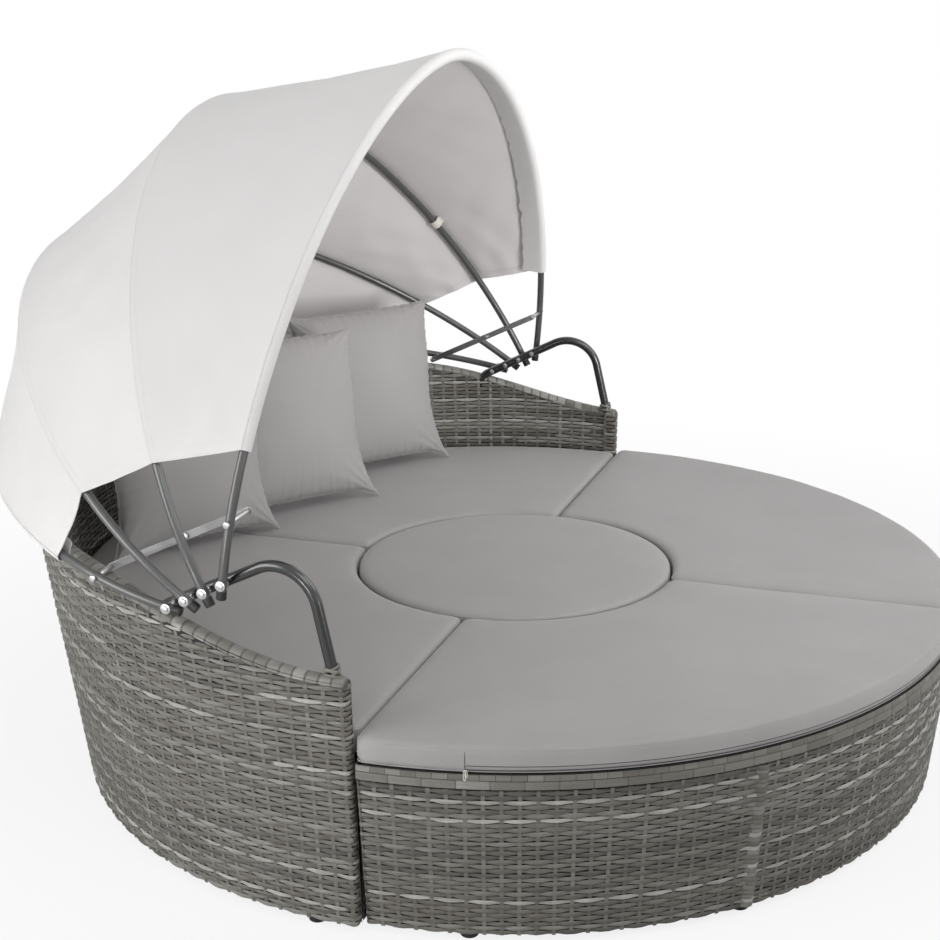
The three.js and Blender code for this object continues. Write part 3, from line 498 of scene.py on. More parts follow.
@dataclass(frozen=True)
class PlasticFinish:
    """Moulded black plastic with a fine grain."""

    name: str = "black_plastic"
    colour: Triple = linear(0.11)

    def material(self) -> Material:
        """Builds the material.

        Returns:
            The material.
        """
        nodes = Nodes(self.name)
        nodes.mottle(self.colour, 0.7, 80)
        nodes.plain(Roughness=0.45)
        nodes.bump(nodes.noise((1500, 1500, 1500), 1), 0.0001, 0.5)
        return nodes.material


def cloth(name: str, level: float, fall: float, warmth: float, green: float, **values: float) -> ClothFinish:
    """A cloth finish from display levels.

    Args:
        name: The material's name.
        level: Display level of its lighter tone.
        fall: How far its darker tone lies under that.
        warmth: Warmth of both tones.
        green: Green of both tones.
        values: Other values of the finish.

    Returns:
        The finish.
    """
    return ClothFinish(name, linear(level, warmth, green), linear(level - fall, warmth, green), **values)


class Finish(Enum):
    """The daybed's finishes."""

    WICKER = WickerFinish()
    # Painted shade: a dark colour for the frame and the shade behind the weave, also on the hidden decks.
    INSIDE = ShadowFinish()
    CUSHION = cloth("cushion_cloth", level=0.615, fall=0.025, warmth=0.006, green=-0.005, sheen=0.3,
                    roughness=0.62)
    COVER = cloth("cover_cloth", level=0.86, fall=0.015, warmth=0.004, green=-0.002, threads=900.0,
                  sheen=0.15)
    # The cloth's inner face is a lighter, pinker copy of the cover cloth: painted light that stands in for
    # light through the cloth.
    COVER_BACK_PAINTED_LIGHT = cloth("cover_cloth_inside", level=0.88, fall=0.015, warmth=0.008, green=-0.008,
                       threads=900.0, sheen=0.15)
    WEBBING = cloth("webbing", level=0.86, fall=0.08, warmth=0.03, green=0.012, threads=500.0, sheen=0.1)
    # Painted shade: dark cords where the zip's grooves and the band's upright seam are shaded.
    THREAD = cloth("groove_shade_cord", level=0.34, fall=0.06, warmth=0.004, green=0.0, threads=900.0, sheen=0.0)
    TUBE = CoatedTubeFinish()
    ARM_TUBE = CoatedTubeFinish("arm_tube_coat", linear(0.10, 0.0, 0.002), roughness=0.22)
    ZINC = MetalFinish("zinc", linear(0.82), roughness=0.28)
    STAY = MetalFinish("stay_steel", linear(0.62), roughness=0.38)
    PLASTIC = PlasticFinish()


class Palette:
    """Makes each material once, when it is first asked for."""

    def __init__(self) -> None:
        """Starts with no material made."""
        self._made: dict[Finish, Material] = {}

    def __getitem__(self, finish: Finish) -> Material:
        """The material of a finish.

        Args:
            finish: The finish.

        Returns:
            Its material, built when it is first asked for.
        """
        if finish not in self._made:
            self._made[finish] = finish.value.material()
        return self._made[finish]


PALETTE = Palette()


# making pieces


def deselect() -> None:
    """Clears the selection, so that an operator acts only on what is selected next."""
    if bpy.context.mode != "OBJECT":
        bpy.ops.object.mode_set(mode="OBJECT")
    bpy.ops.object.select_all(action="DESELECT")


def activate(piece: Piece) -> None:
    """Selects one object and makes it active.

    Args:
        piece: The object.
    """
    deselect()
    piece.select_set(True)
    bpy.context.view_layer.objects.active = piece


def settle(piece: Piece) -> None:
    """Applies an object's place, turn and scale to its mesh."""
    activate(piece)
    bpy.ops.object.transform_apply(location=True, rotation=True, scale=True)


def apply_modifiers(piece: Piece) -> None:
    """Applies all modifiers in their order.

    Args:
        piece: The object.
    """
    activate(piece)
    for modifier in list(piece.modifiers):
        bpy.ops.object.modifier_apply(modifier=modifier.name)


def bevelled(piece: Piece, width: float, segments: int) -> None:
    """Rounds a piece's sharp edges, after the modifiers that it has.

    Args:
        piece: The piece.
        width: The bevel's width.
        segments: Steps of its round.
    """
    edge = piece.modifiers.new("edge", "BEVEL")
    edge.width, edge.segments, edge.limit_method = width, segments, "ANGLE"
    apply_modifiers(piece)


def dressed(piece: Piece, finish: Finish) -> None:
    """Gives a piece one finish in place of what it has."""
    piece.data.materials.clear()
    piece.data.materials.append(PALETTE[finish])


def toned(piece: Piece, tones: Array) -> None:
    """Gives each point the tone that the woven finish reads."""
    attribute = piece.data.attributes.new("tone", "FLOAT", "POINT")
    attribute.data.foreach_set("value", np.asarray(tones, np.float32))


def cleaned(piece: Piece, weld: float = 0.0, outward: bool = True) -> None:
    """Merges points that lie closer than a distance and, if asked, turns the faces outward.

    Args:
        piece: The piece.
        weld: The distance.
        outward: Whether its faces are turned.
    """
    activate(piece)
    bpy.ops.object.mode_set(mode="EDIT")
    bpy.ops.mesh.select_all(action="SELECT")
    if weld:
        bpy.ops.mesh.remove_doubles(threshold=weld)
    if outward:
        bpy.ops.mesh.normals_make_consistent(inside=False)
    bpy.ops.object.mode_set(mode="OBJECT")


def rod(radius: float, length: float, middle: Triple, sides: int, turn: Triple = (0, 0, 0)) -> Piece:
    """A plain upright cylinder, or one with another turn.

    Args:
        radius: Its radius.
        length: Its length.
        middle: Place of its middle.
        sides: Faces round it.
        turn: Turn about each axis.

    Returns:
        The cylinder.
    """
    deselect()
    bpy.ops.mesh.primitive_cylinder_add(vertices=sides, radius=radius, depth=length, location=middle,
                                        rotation=turn)
    made = bpy.context.object
    settle(made)
    return made


def from_points(name: str, points: Array, faces: Sequence[Sequence[int]], *finishes: Finish) -> Piece:
    """A mesh object from points about the stool's middle.

    Args:
        name: The object's name.
        points: Corner points.
        faces: Corner numbers of each face.
        finishes: Finishes of the material slots.

    Returns:
        The object, in the row frame.
    """
    mesh = bpy.data.meshes.new(name)
    mesh.from_pydata(LAYOUT.in_row(points).tolist(), [], [list(f) for f in faces])
    mesh.validate()
    mesh.update()
    piece = bpy.data.objects.new(name, mesh)
    bpy.context.scene.collection.objects.link(piece)
    for finish in finishes:
        mesh.materials.append(PALETTE[finish])
    return piece


def smooth(piece: Piece, degrees: float = 35.0) -> None:
    """Shades a mesh smooth, with edges sharper than an angle left crisp."""
    activate(piece)
    bpy.ops.object.shade_smooth_by_angle(angle=math.radians(degrees))


def hand_over(piece: Piece, body: str, slot: str, *nodes: str) -> Piece:
    """Lets a finished piece ride on its body in place of its CAD nodes.

    Args:
        piece: The finished piece.
        body: The body it moves with.
        slot: The record's material slot; not used.
        nodes: CAD nodes that it stands for.

    Returns:
        The piece.
    """
    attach(piece, body)
    if nodes:
        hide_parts(*nodes)
    log.info("%s rides on %s", piece.name, body)
    return piece


def joined(name: str, pieces: Sequence[Piece]) -> Piece:
    """Joins objects into one with a name.

    Args:
        name: The name.
        pieces: The objects.

    Returns:
        The joined piece.
    """
    activate(pieces[0])
    for piece in pieces[1:]:
        piece.select_set(True)
    if len(pieces) > 1:
        bpy.ops.object.join()
    pieces[0].name = name
    return pieces[0]


def swept_bar(name: str, points: Array, radius: float, finish: Finish, sides: int = 20) -> Piece:
    """A round bar along points, made as a filled curve and turned into a mesh.

    Args:
        name: The bar's name.
        points: Its centre line about the stool's middle.
        radius: Its radius.
        finish: Its finish.
        sides: Sides of its section.

    Returns:
        The bar, in the row frame.
    """
    deselect()
    bpy.ops.curve.primitive_bezier_curve_add(location=(0, 0, 0))
    path = bpy.context.object
    path.data.splines.clear()
    spline = path.data.splines.new("POLY")
    spline.points.add(len(points) - 1)
    for point, place in zip(spline.points, LAYOUT.in_row(points)):
        point.co = (*place, 1.0)
    path.data.dimensions = "3D"
    path.data.twist_mode = "MINIMUM"
    path.data.bevel_depth = radius
    path.data.bevel_resolution = max(1, sides // 4 - 1)
    path.data.use_fill_caps = True
    bpy.ops.object.convert(target="MESH")
    bar = bpy.context.object
    bar.name = bar.data.name = name
    dressed(bar, finish)
    cleaned(bar, weld=0.00001)
    smooth(bar)
    return bar


ALONG_X = (0, math.pi / 2, 0)


def turned_piece(name: str, steps: Pairs, finish: Finish, sides: int = 24) -> Piece:
    """A stack of round or many-sided steps about the X axis, joined and bevelled.

    Args:
        name: The piece's name.
        steps: Radius and length of each step, from inside to outside; radii below zero are hexagons.
        finish: Its finish.
        sides: Sides of the round steps.

    Returns:
        The piece, starting at the origin and pointing along +X.
    """
    made, start = [], 0.0
    for radius, length in steps:
        step = rod(abs(radius), length, (start + length / 2, 0, 0), 6 if radius < 0 else sides, ALONG_X)
        bevelled(step, 0.0005, 2)
        made.append(step)
        start += length
    piece = joined(name, made)
    dressed(piece, finish)
    smooth(piece, 30)
    return piece


def moved(piece: Piece, matrix: Matrix) -> Piece:
    """Moves a mesh by a matrix, with its object left at the origin.

    Args:
        piece: The piece.
        matrix: The matrix.

    Returns:
        The same piece.
    """
    piece.data.transform(matrix)
    if matrix.determinant() < 0:
        piece.data.flip_normals()
    piece.data.update()
    return piece


# outlines


def whole(line: Array, closed: bool) -> Array:
    """A line with its start repeated at its end, if it is closed."""
    return np.vstack([line, line[:1]]) if closed else line


def travelled(line: Array) -> Array:
    """Length of a line up to each of its points."""
    return np.concatenate([[0], np.cumsum(np.linalg.norm(np.diff(line, axis=0), axis=1))])


def points_at(line: Array, places: Array) -> Array:
    """Points of a line at lengths along it."""
    lengths = travelled(line)
    return np.stack([np.interp(places, lengths, column) for column in line.T], axis=1)


def evenly(points: Array, count: int, closed: bool) -> Array:
    """Points at equal steps along a line.

    Args:
        points: The line's corners.
        count: How many points to give.
        closed: Whether the line returns to its start.

    Returns:
        The spaced points; a closed line doesn't repeat its start.
    """
    line = whole(points, closed)
    places = np.linspace(0, travelled(line)[-1], count + 1 if closed else count)
    return points_at(line, places[:count])


def spaced(line: Array, shares: Array) -> Array:
    """Points at given shares of an open line's length."""
    return points_at(line, shares * travelled(line)[-1])


def rounded(points: Array, closed: bool, width: float) -> Array:
    """Rounds a line's corners by a running mean over a width.

    Args:
        points: The line's corners.
        closed: Whether the line returns to its start.
        width: Length over which the line is averaged.

    Returns:
        A fine line.
    """
    step = 0.0015
    length = travelled(whole(points, closed))[-1]
    fine = evenly(points, max(64, int(length / step)), closed)
    window = max(3, int(width / step) | 1)
    half = window // 2
    if closed:
        padded = np.vstack([fine[-half:], fine, fine[:half]])
    else:
        padded = np.vstack([2 * fine[0] - fine[half:0:-1], fine, 2 * fine[-1] - fine[-2 : -half - 2 : -1]])
    kernel = np.ones(window) / window
    return np.stack([np.convolve(column, kernel, "valid") for column in padded.T], axis=1)


def polar(radius: Array | float, bearing: Array) -> Array:
    """Flat points from radii and bearings in radians."""
    return np.stack([radius * np.cos(bearing), radius * np.sin(bearing)], axis=1)


def circle(radius: float, count: int = 240) -> Array:
    """A circle of a radius, counter-clockwise."""
    return polar(radius, np.linspace(0, 2 * math.pi, count, endpoint=False))


def outward_of(line: Array, closed: bool) -> Array:
    """Unit vectors to the right of a flat line's direction of travel.

    Args:
        line: The line's points.
        closed: Whether it closes.

    Returns:
        A vector for each point.
    """
    if closed:
        step = np.roll(line, -1, axis=0) - np.roll(line, 1, axis=0)
    else:
        step = np.gradient(line, axis=0)
    step /= np.linalg.norm(step, axis=1, keepdims=True)
    return np.stack([step[:, 1], -step[:, 0]], axis=1)


class Quarter(Enum):
    """The quarters of the circle, by their turn from the +X +Y quarter."""

    BACK_RIGHT = 0
    BACK_LEFT = 1
    FRONT_LEFT = 2
    FRONT_RIGHT = 3

    @property
    def label(self) -> str:
        """The quarter's name in piece names."""
        return self.name.lower()

    def turned(self, points: Array) -> Array:
        """Turns flat points of the +X +Y quarter into this one.

        Args:
            points: The points.

        Returns:
            The turned points.
        """
        angle = self.value * math.pi / 2
        c, s = round(math.cos(angle)), round(math.sin(angle))
        return points @ np.array([[c, s], [-s, c]])

    def outline(self, outer: float, inner: float, seam: float) -> Array:
        """Sharp-cornered outline, counter-clockwise, with its sides a distance from the seams.

        Args:
            outer: Outer radius.
            inner: Inner radius.
            seam: Distance from the seams.

        Returns:
            Flat points about the stool's middle.
        """
        start, end = math.asin(seam / outer), math.asin(seam / inner)
        out = np.linspace(start, math.pi / 2 - start, 90)
        back = np.linspace(math.pi / 2 - end, end, 60)
        return self.turned(np.vstack([polar(outer, out), polar(inner, back)]))


def quads(rows: int, columns: int, loop_rows: bool = False, loop_columns: bool = False) -> Array:
    """Faces between points that are numbered row by row.

    Args:
        rows: Number of rows.
        columns: Points in a row.
        loop_rows: Whether the last row joins the first.
        loop_columns: Whether the end of each row joins its start.

    Returns:
        Four corner numbers for each face.
    """
    i = np.arange(rows if loop_rows else rows - 1)[:, None]
    j = np.arange(columns if loop_columns else columns - 1)[None, :]
    near, far = i * columns, (i + 1) % rows * columns
    across = (j + 1) % columns
    return np.stack([near + j, near + across, far + across, far + j], axis=-1).reshape(-1, 4)


def tube_faces(rings: int, size: int) -> list[list[int]]:
    """Faces of a row of closed rings, with both ends filled.

    Args:
        rings: How many rings.
        size: Points in each.

    Returns:
        The faces' point numbers.
    """
    last = (rings - 1) * size
    ends = [list(range(size))[::-1], list(range(last, last + size))]
    return quads(rings, size, loop_columns=True).tolist() + ends


# weaving


STRIP_TONES = ((0.06, 0.22, 0.36, 0.5, 0.66), (0.18, 0.24, 0.24, 0.2, 0.14))
STRAND_TONES = ((0.28, 0.40, 0.50, 0.68), (0.3, 0.35, 0.25, 0.1))
RIB_TONES = (0.2, 0.36, 0.5, 0.66, 0.9)
# The rim's pale tones are partly its own colour and partly a painted satin highlight.
RIM_TONES_AND_HIGHLIGHT = (0.5, 0.6, 0.68, 0.76, 0.84)
RIB_PROFILE = ((0.0025, 0.0046), (0.0065, 0.0030), (0.0095, -0.0006), (0.014, -0.0030))


@dataclass
class Weave:
    """Flat strips woven in and out of upright strands on a wall.

    The wall is given by its outline at each height. Strips run level; each has its own tone.
    """

    outline: Outline
    bottom: float
    top: float
    closed: bool
    seed: int
    pitch: float = 0.0090
    strand_pitch: float = 0.030
    strip: float = 0.0092
    thickness: float = 0.0018
    swing: float = 0.0012
    depth: float = 0.0021
    dive: float = 0.80
    wander: float = 0.0011
    strand_width: float = 0.0068
    strand_thickness: float = 0.001
    pale_width: float = 0.86
    pale_proud: float = 0.0003
    stray: float = 0.0004
    pale_every: tuple[int, int] = (4, 8)
    samples: int = 4
    limit: Callable[[Array], Array] | None = None
    points: list[Array] = field(default_factory=list)
    faces: list[Array] = field(default_factory=list)
    tones: list[Array] = field(default_factory=list)

    def _count(self) -> int:
        """Places sampled along the wall, with an even number of strands.

        Returns:
            The number of places.
        """
        length = travelled(whole(self.outline((self.bottom + self.top) / 2), self.closed))[-1]
        strands = max(2, int(round(length / self.strand_pitch / 2)) * 2)
        return strands * self.samples + (0 if self.closed else 1)

    def _rows(self) -> tuple[Array, float]:
        """Heights of the level strips and the step between them.

        Returns:
            The heights and the step.
        """
        rows = max(1, round((self.top - self.bottom) / self.pitch))
        step = (self.top - self.bottom) / rows
        return self.bottom + (np.arange(rows) + 0.5) * step, step

    def _at(self, z: float, count: int) -> tuple[Array, Array]:
        """The wall's points and outward directions at a height."""
        line = evenly(self.outline(z), count, self.closed)
        return line, outward_of(line, self.closed)

    def _add(self, rings: Array, closed: bool, tone: Array) -> None:
        """Adds a strip from its sections.

        Args:
            rings: Sections of four points each.
            closed: Whether the strip returns to its start.
            tone: Tone of each section.
        """
        base = sum(len(p) for p in self.points)
        count, size = rings.shape[:2]
        self.points.append(rings.reshape(-1, 3))
        self.tones.append(np.repeat(tone, size))
        self.faces.append(quads(count, size, closed, True)[:, [0, 3, 2, 1]] + base)
        if not closed:
            ends = np.array([[0, 1, 2, 3], [3, 2, 1, 0]])
            self.faces.append(ends + base + np.array([[0], [size * (count - 1)]]))

    def _section(self, line: Array, out: Array, z: Array | float, offset: Array, width: Array | float,
                 flat: float = 0.26) -> Array:
        """Sections of a level strip: two outer corners, at a share of its width, and its two edges.

        Args:
            line: The wall's line.
            out: Its outward directions.
            z: The strip's height.
            offset: How far it stands off the line.
            width: Its width.
            flat: The share of its width between middle and outer corner.

        Returns:
            Four points for each place.
        """
        front, back = offset + self.thickness / 2, offset - self.thickness / 2
        rings = np.empty((len(line), 4, 3))
        for k, (shift, up) in enumerate([(front, -flat), (front, flat), (back, 0.5), (back, -0.5)]):
            rings[:, k, :2] = line + out * shift[:, None]
            rings[:, k, 2] = z + up * width
        return rings

    def _wandering(self, count: int) -> Callable[[float], Array]:
        """How far rows stray from level, alike in rows that lie close together.

        Args:
            count: Places along the wall.

        Returns:
            What gives a row's rise at each place from its height.
        """
        random = np.random.default_rng(self.seed + 2)
        place = np.arange(count) / (self.samples * 2)
        waves = []
        for _ in range(7):
            turns = round(random.uniform(0.04, 0.22) * place[-1])
            phase, lift = random.uniform(0, 2 * math.pi, 2)
            waves.append((turns / max(place[-1], 1), phase, lift, random.uniform(6, 26)))

        def stray(z: float) -> Array:
            """Rise or fall of a row at each place.

            Args:
                z: The row's height.

            Returns:
                The rise at each place.
            """
            total = np.zeros(count)
            for turns, phase, lift, rate in waves:
                total += np.sin(2 * math.pi * turns * place + phase + math.sin(lift + z * rate) * 2.2)
            return total * self.wander / 2.6

        return stray

    def strips(self) -> None:
        """Weaves the level strips."""
        random = np.random.default_rng(self.seed)
        count = self._count()
        places = np.arange(count)
        heights, step = self._rows()
        wandering = self._wandering(count)
        pale_row = int(random.integers(2, 5))
        for row, z in enumerate(heights):
            line, out = self._at(z, count)
            wave = np.clip(1.5 * np.cos(places / self.samples * math.pi + row * math.pi), -1, 1)
            pale = row == pale_row
            if pale:
                pale_row += int(random.integers(*self.pale_every))
            width = self.strip * step / self.pitch * (self.pale_width if pale else random.uniform(0.93, 1.04))
            lens = (places + (self.samples if row % 2 else 0) + self.samples // 2) // (2 * self.samples)
            uneven = random.uniform(0.90, 1.05, lens[-1] + 1)[lens]
            widths = width * (1 + self.dive + wave * (1 - self.dive)) / 2 * uneven
            offset = -self.depth + self.swing * wave + (self.pale_proud if pale else 0.0)
            levels = z + wandering(z) + random.uniform(-self.stray, self.stray, lens[-1] + 1)[lens]
            levels = np.clip(levels, self.bottom + width / 2, self.top - width / 2)
            tone = self._tone(random, count, pale)
            if self.limit is None:
                self._add(self._section(line, out, levels, offset, widths), self.closed, tone)
                continue
            ceiling = self.limit(line)
            rings = self._section(line, out, np.minimum(levels, ceiling - width / 2), offset, widths)
            keep = np.flatnonzero(ceiling > levels - width * 0.45)
            if len(keep) > 2:
                part = slice(keep[0], keep[-1] + 1)
                self._add(rings[part], False, tone[part])

    def _tone(self, random: np.random.Generator, count: int, pale: bool) -> Array:
        """Tone along a strip, which changes where the next strip begins and a little at each crossing.

        Args:
            random: The weave's random draws.
            count: Places along the wall.
            pale: Whether it is a pale strip.

        Returns:
            The tone at each place.
        """
        crossings = np.arange(count) // self.samples
        small = random.uniform(-0.07, 0.07, crossings[-1] + 1)[crossings]
        tone = np.empty(count)
        start = 0
        while start < count:
            length = int(random.integers(24, 150))
            value = random.choice(STRIP_TONES[0], p=STRIP_TONES[1])
            if pale and random.random() < 0.6:
                value = random.uniform(0.76, 0.94)
            tone[start : start + length] = value
            start += length
        return np.clip(tone + small, 0, 1)

    def strands(self) -> None:
        """Sets the upright strands, flat and straight, at the middle of the weave."""
        random = np.random.default_rng(self.seed + 1)
        count = self._count()
        heights = np.linspace(self.bottom, self.top, 7)
        lines = [self._at(z, count) for z in heights]
        foot_line, head_line = lines[0][0], lines[-1][0]
        corners = [(0.5, -0.5), (0.5, 0.5), (-0.5, 0.5), (-0.5, -0.5)]
        for k in range(0, count, self.samples):
            top = self.top
            if self.limit is not None:
                top = min(top, float(self.limit(head_line[k : k + 1])[0]))
            share = (top - self.bottom) / (self.top - self.bottom)
            rings = np.empty((len(heights), 4, 3))
            for level, (_, out) in enumerate(lines):
                z = self.bottom + (heights[level] - self.bottom) * share
                up = (z - self.bottom) / (self.top - self.bottom)
                point = foot_line[k] + (head_line[k] - foot_line[k]) * up
                along = np.array([-out[k][1], out[k][0]])
                for c, (side, shift) in enumerate(corners):
                    proud = shift * self.strand_thickness - self.depth
                    flat = point + along * side * self.strand_width + out[k] * proud
                    rings[level, c] = [flat[0], flat[1], z]
            base = random.choice(STRAND_TONES[0], p=STRAND_TONES[1])
            self._add(rings, False, np.clip(base + random.uniform(-0.12, 0.12, len(heights)), 0, 1))

    def rib(self, bearing: float) -> None:
        """Wraps a rounded upright rib over the wall.

        Args:
            bearing: Bearing of the rib about the stool's middle, in radians.
        """
        random = np.random.default_rng(self.seed + 4)
        heights, step = self._rows()
        half = np.array(RIB_PROFILE)
        across, proud = np.vstack([half[::-1] * [-1, 1], half]).T
        out = np.array([math.cos(bearing), math.sin(bearing)])
        along = np.array([-out[1], out[0]])
        for z in heights:
            line, _ = self._at(z, 900)
            turn = np.arctan2(line[:, 1], line[:, 0]) - bearing
            nearest = line[np.argmin(np.abs(np.arctan2(np.sin(turn), np.cos(turn))))]
            places = out * np.linalg.norm(nearest) + along * across[:, None]
            rings = self._section(places, out, z, proud, step * random.uniform(0.92, 1.0))
            self._add(rings, False, np.full(len(across), random.choice(RIB_TONES)))

    def wraps(self, rows: Pairs) -> None:
        """Lays flat wraps side by side round a closed wall, with a thin joint between each two.

        Args:
            rows: Rough length of a wrap and share of the wall's height, for each row from the bottom up.
        """
        random = np.random.default_rng(self.seed)
        steps, sections = 40, np.array([0, 1, 10, 20, 30, 39])
        low = self.bottom
        for length, share in rows:
            high = low + (self.top - self.bottom) * share
            z = (low + high) / 2
            total = travelled(whole(self.outline(z), True))[-1]
            wraps = max(2, round(total / length / random.uniform(0.85, 1.15)))
            line, out = self._at(z, wraps * steps)
            marks = (np.arange(wraps)[:, None] * steps + sections).ravel()
            joint = np.tile(sections == 0, wraps)
            tone = random.uniform(0.30, 0.52, wraps) + random.choice([0, 0.22], wraps, p=[0.8, 0.2])
            offset = np.where(joint, -0.0017, -self.thickness / 2)
            width = np.where(joint, 0.92, 0.985) * (high - low)
            rings = self._section(line[marks], out[marks], z, offset, width, 0.43)
            self._add(rings, True, np.where(joint, 0.1, np.repeat(tone, len(sections))))
            low = high

    def core(self, inner: float) -> tuple[Array, list[list[int]]]:
        """The dark body behind the weave, painted shade with the frame: a wall from just inside the strips to
        a depth.

        Args:
            inner: Depth of the wall's inner face.

        Returns:
            Points and faces, numbered from zero.
        """
        count = 360
        heights = np.linspace(self.bottom, self.top, 7)
        rings = []
        for depth, levels in ((self.depth + 0.0031, heights), (inner, heights[::-1])):
            for z in levels:
                line, out = self._at(z, count)
                level = np.full(count, z)
                if self.limit is not None:
                    level = np.minimum(level, self.limit(line))
                rings.append(np.column_stack([line - out * depth, level]))
        faces = quads(len(rings), count, True, self.closed).tolist()
        if not self.closed:
            ends = [[r * count + end for r in range(len(rings))] for end in (0, count - 1)]
            faces += [ends[0], ends[1][::-1]]
        return np.vstack(rings), faces

    def piece(self, name: str, inner: float) -> Piece:
        """Weaves the wall, if that isn't done yet, and gives it a dark body of painted shade.

        Args:
            name: The piece's name.
            inner: Depth of the body's inner face.

        Returns:
            The woven wall, in the row frame.
        """
        if not self.points:
            self.strips()
            self.strands()
        woven = from_points(name, np.vstack(self.points), np.vstack(self.faces), Finish.WICKER, Finish.INSIDE)
        toned(woven, np.concatenate(self.tones))
        smooth(woven, 40)
        # The dark body is painted shade, with the frame, seen between the strips.
        body = from_points(f"{name}_core", *self.core(inner), Finish.INSIDE)
        smooth(body, 30)
        return joined(name, [woven, body])


# woven bases


def foot(x: float, y: float, radius: float = 0.016) -> Piece:
    """A short round glide under the base frame, at a place about the stool's middle.

    Args:
        x: Place along X.
        y: Place along Y.
        radius: The glide's radius.

    Returns:
        The glide.
    """
    glide = rod(radius, LAYOUT.foot_height, (x, y + LAYOUT.centre_y, LAYOUT.foot_height / 2), 28)
    bevelled(glide, 0.003, 3)
    dressed(glide, Finish.PLASTIC)
    smooth(glide)
    return glide


def feet(label: str, radius: float, bearings: Sequence[float], more: Pairs = ()) -> None:
    """Sets the feet of one base as one piece.

    Args:
        label: The base's name.
        radius: Radius on which the first feet stand.
        bearings: Their bearings, in degrees.
        more: Radius and bearing of further feet.
    """
    places = [(radius, bearing) for bearing in bearings] + list(more)
    made = [foot(r * math.cos(math.radians(b)), r * math.sin(math.radians(b))) for r, b in places]
    hand_over(joined(f"{label}_glides", made), "daybed", "deck")


def wrap_rail(label: str, outline: Outline, seed: int) -> None:
    """Wraps the rail on a stool's skirt in two rows of strips.

    Args:
        label: The base's name.
        outline: Outline of the rail at a height.
        seed: Start of the random choice.
    """
    rail = Weave(outline, LAYOUT.rail_bottom, LAYOUT.deck_height, True, seed)
    rail.wraps(((0.058, 0.60), (0.026, 0.40)))
    made = rail.piece(f"{label}_wrapped_rail", LAYOUT.rail_width)
    hand_over(made, "daybed", "wrapped_rail", f"{label}_rail")


@dataclass
class QuarterBase:
    """A woven quarter stool: skirt, wrapped rail and feet."""

    quarter: Quarter
    seed: int

    def _rounded(self, outer: float, inner: float) -> Array:
        """Rounded outline of the quarter between two radii."""
        return rounded(self.quarter.outline(outer, inner, LAYOUT.module_gap), True, 0.014)

    def _outline(self, z: float) -> Array:
        """Rounded outline of the skirt at a height."""
        flare = (LAYOUT.base_radius_top - LAYOUT.base_radius_bottom) * LAYOUT.skirt_share(z)
        return self._rounded(LAYOUT.base_radius_bottom + flare, LAYOUT.recess_radius)

    def _rail_outline(self, _: float) -> Array:
        """Rounded outline of the rail, the same at each height."""
        proud = LAYOUT.rail_proud
        return self._rounded(LAYOUT.base_radius_top + proud, LAYOUT.recess_radius - proud)

    def build(self) -> None:
        """Weaves the skirt and rail and sets the feet."""
        label = self.quarter.label
        skirt = Weave(self._outline, LAYOUT.foot_height, LAYOUT.skirt_top - 0.001, True, self.seed)
        skirt.strips()
        skirt.strands()
        skirt.rib((self.quarter.value + 0.5) * math.pi / 2)
        hand_over(skirt.piece(f"{label}_woven_skirt", LAYOUT.wall), "daybed", "wicker", f"{label}_skirt")
        wrap_rail(label, self._rail_outline, self.seed + 7)
        turn = self.quarter.value * 90
        outer = [turn + bearing for bearing in (12, 45, 78)]
        inner = [(LAYOUT.recess_radius + LAYOUT.glide_inset, turn + bearing) for bearing in (20, 70)]
        feet(label, LAYOUT.base_radius_bottom - LAYOUT.glide_inset, outer, inner)


@dataclass
class StoolBase:
    """The woven round stool in the middle."""

    seed: int = 31

    @staticmethod
    def _outline(z: float) -> Array:
        """Outline of the skirt at a height."""
        return circle(LAYOUT.stool_radius - LAYOUT.stool_taper * (1 - LAYOUT.skirt_share(z)))

    def build(self) -> None:
        """Weaves the skirt and rail and sets the feet."""
        skirt = Weave(self._outline, LAYOUT.foot_height, LAYOUT.skirt_top - 0.001, True, self.seed)
        hand_over(skirt.piece("stool_woven_skirt", LAYOUT.wall), "daybed", "wicker", "stool_skirt")
        wrap_rail("stool", lambda _: circle(LAYOUT.stool_radius + LAYOUT.rail_proud), self.seed + 3)
        feet("stool", LAYOUT.stool_radius - 0.032, (45, 135, 225, 315))


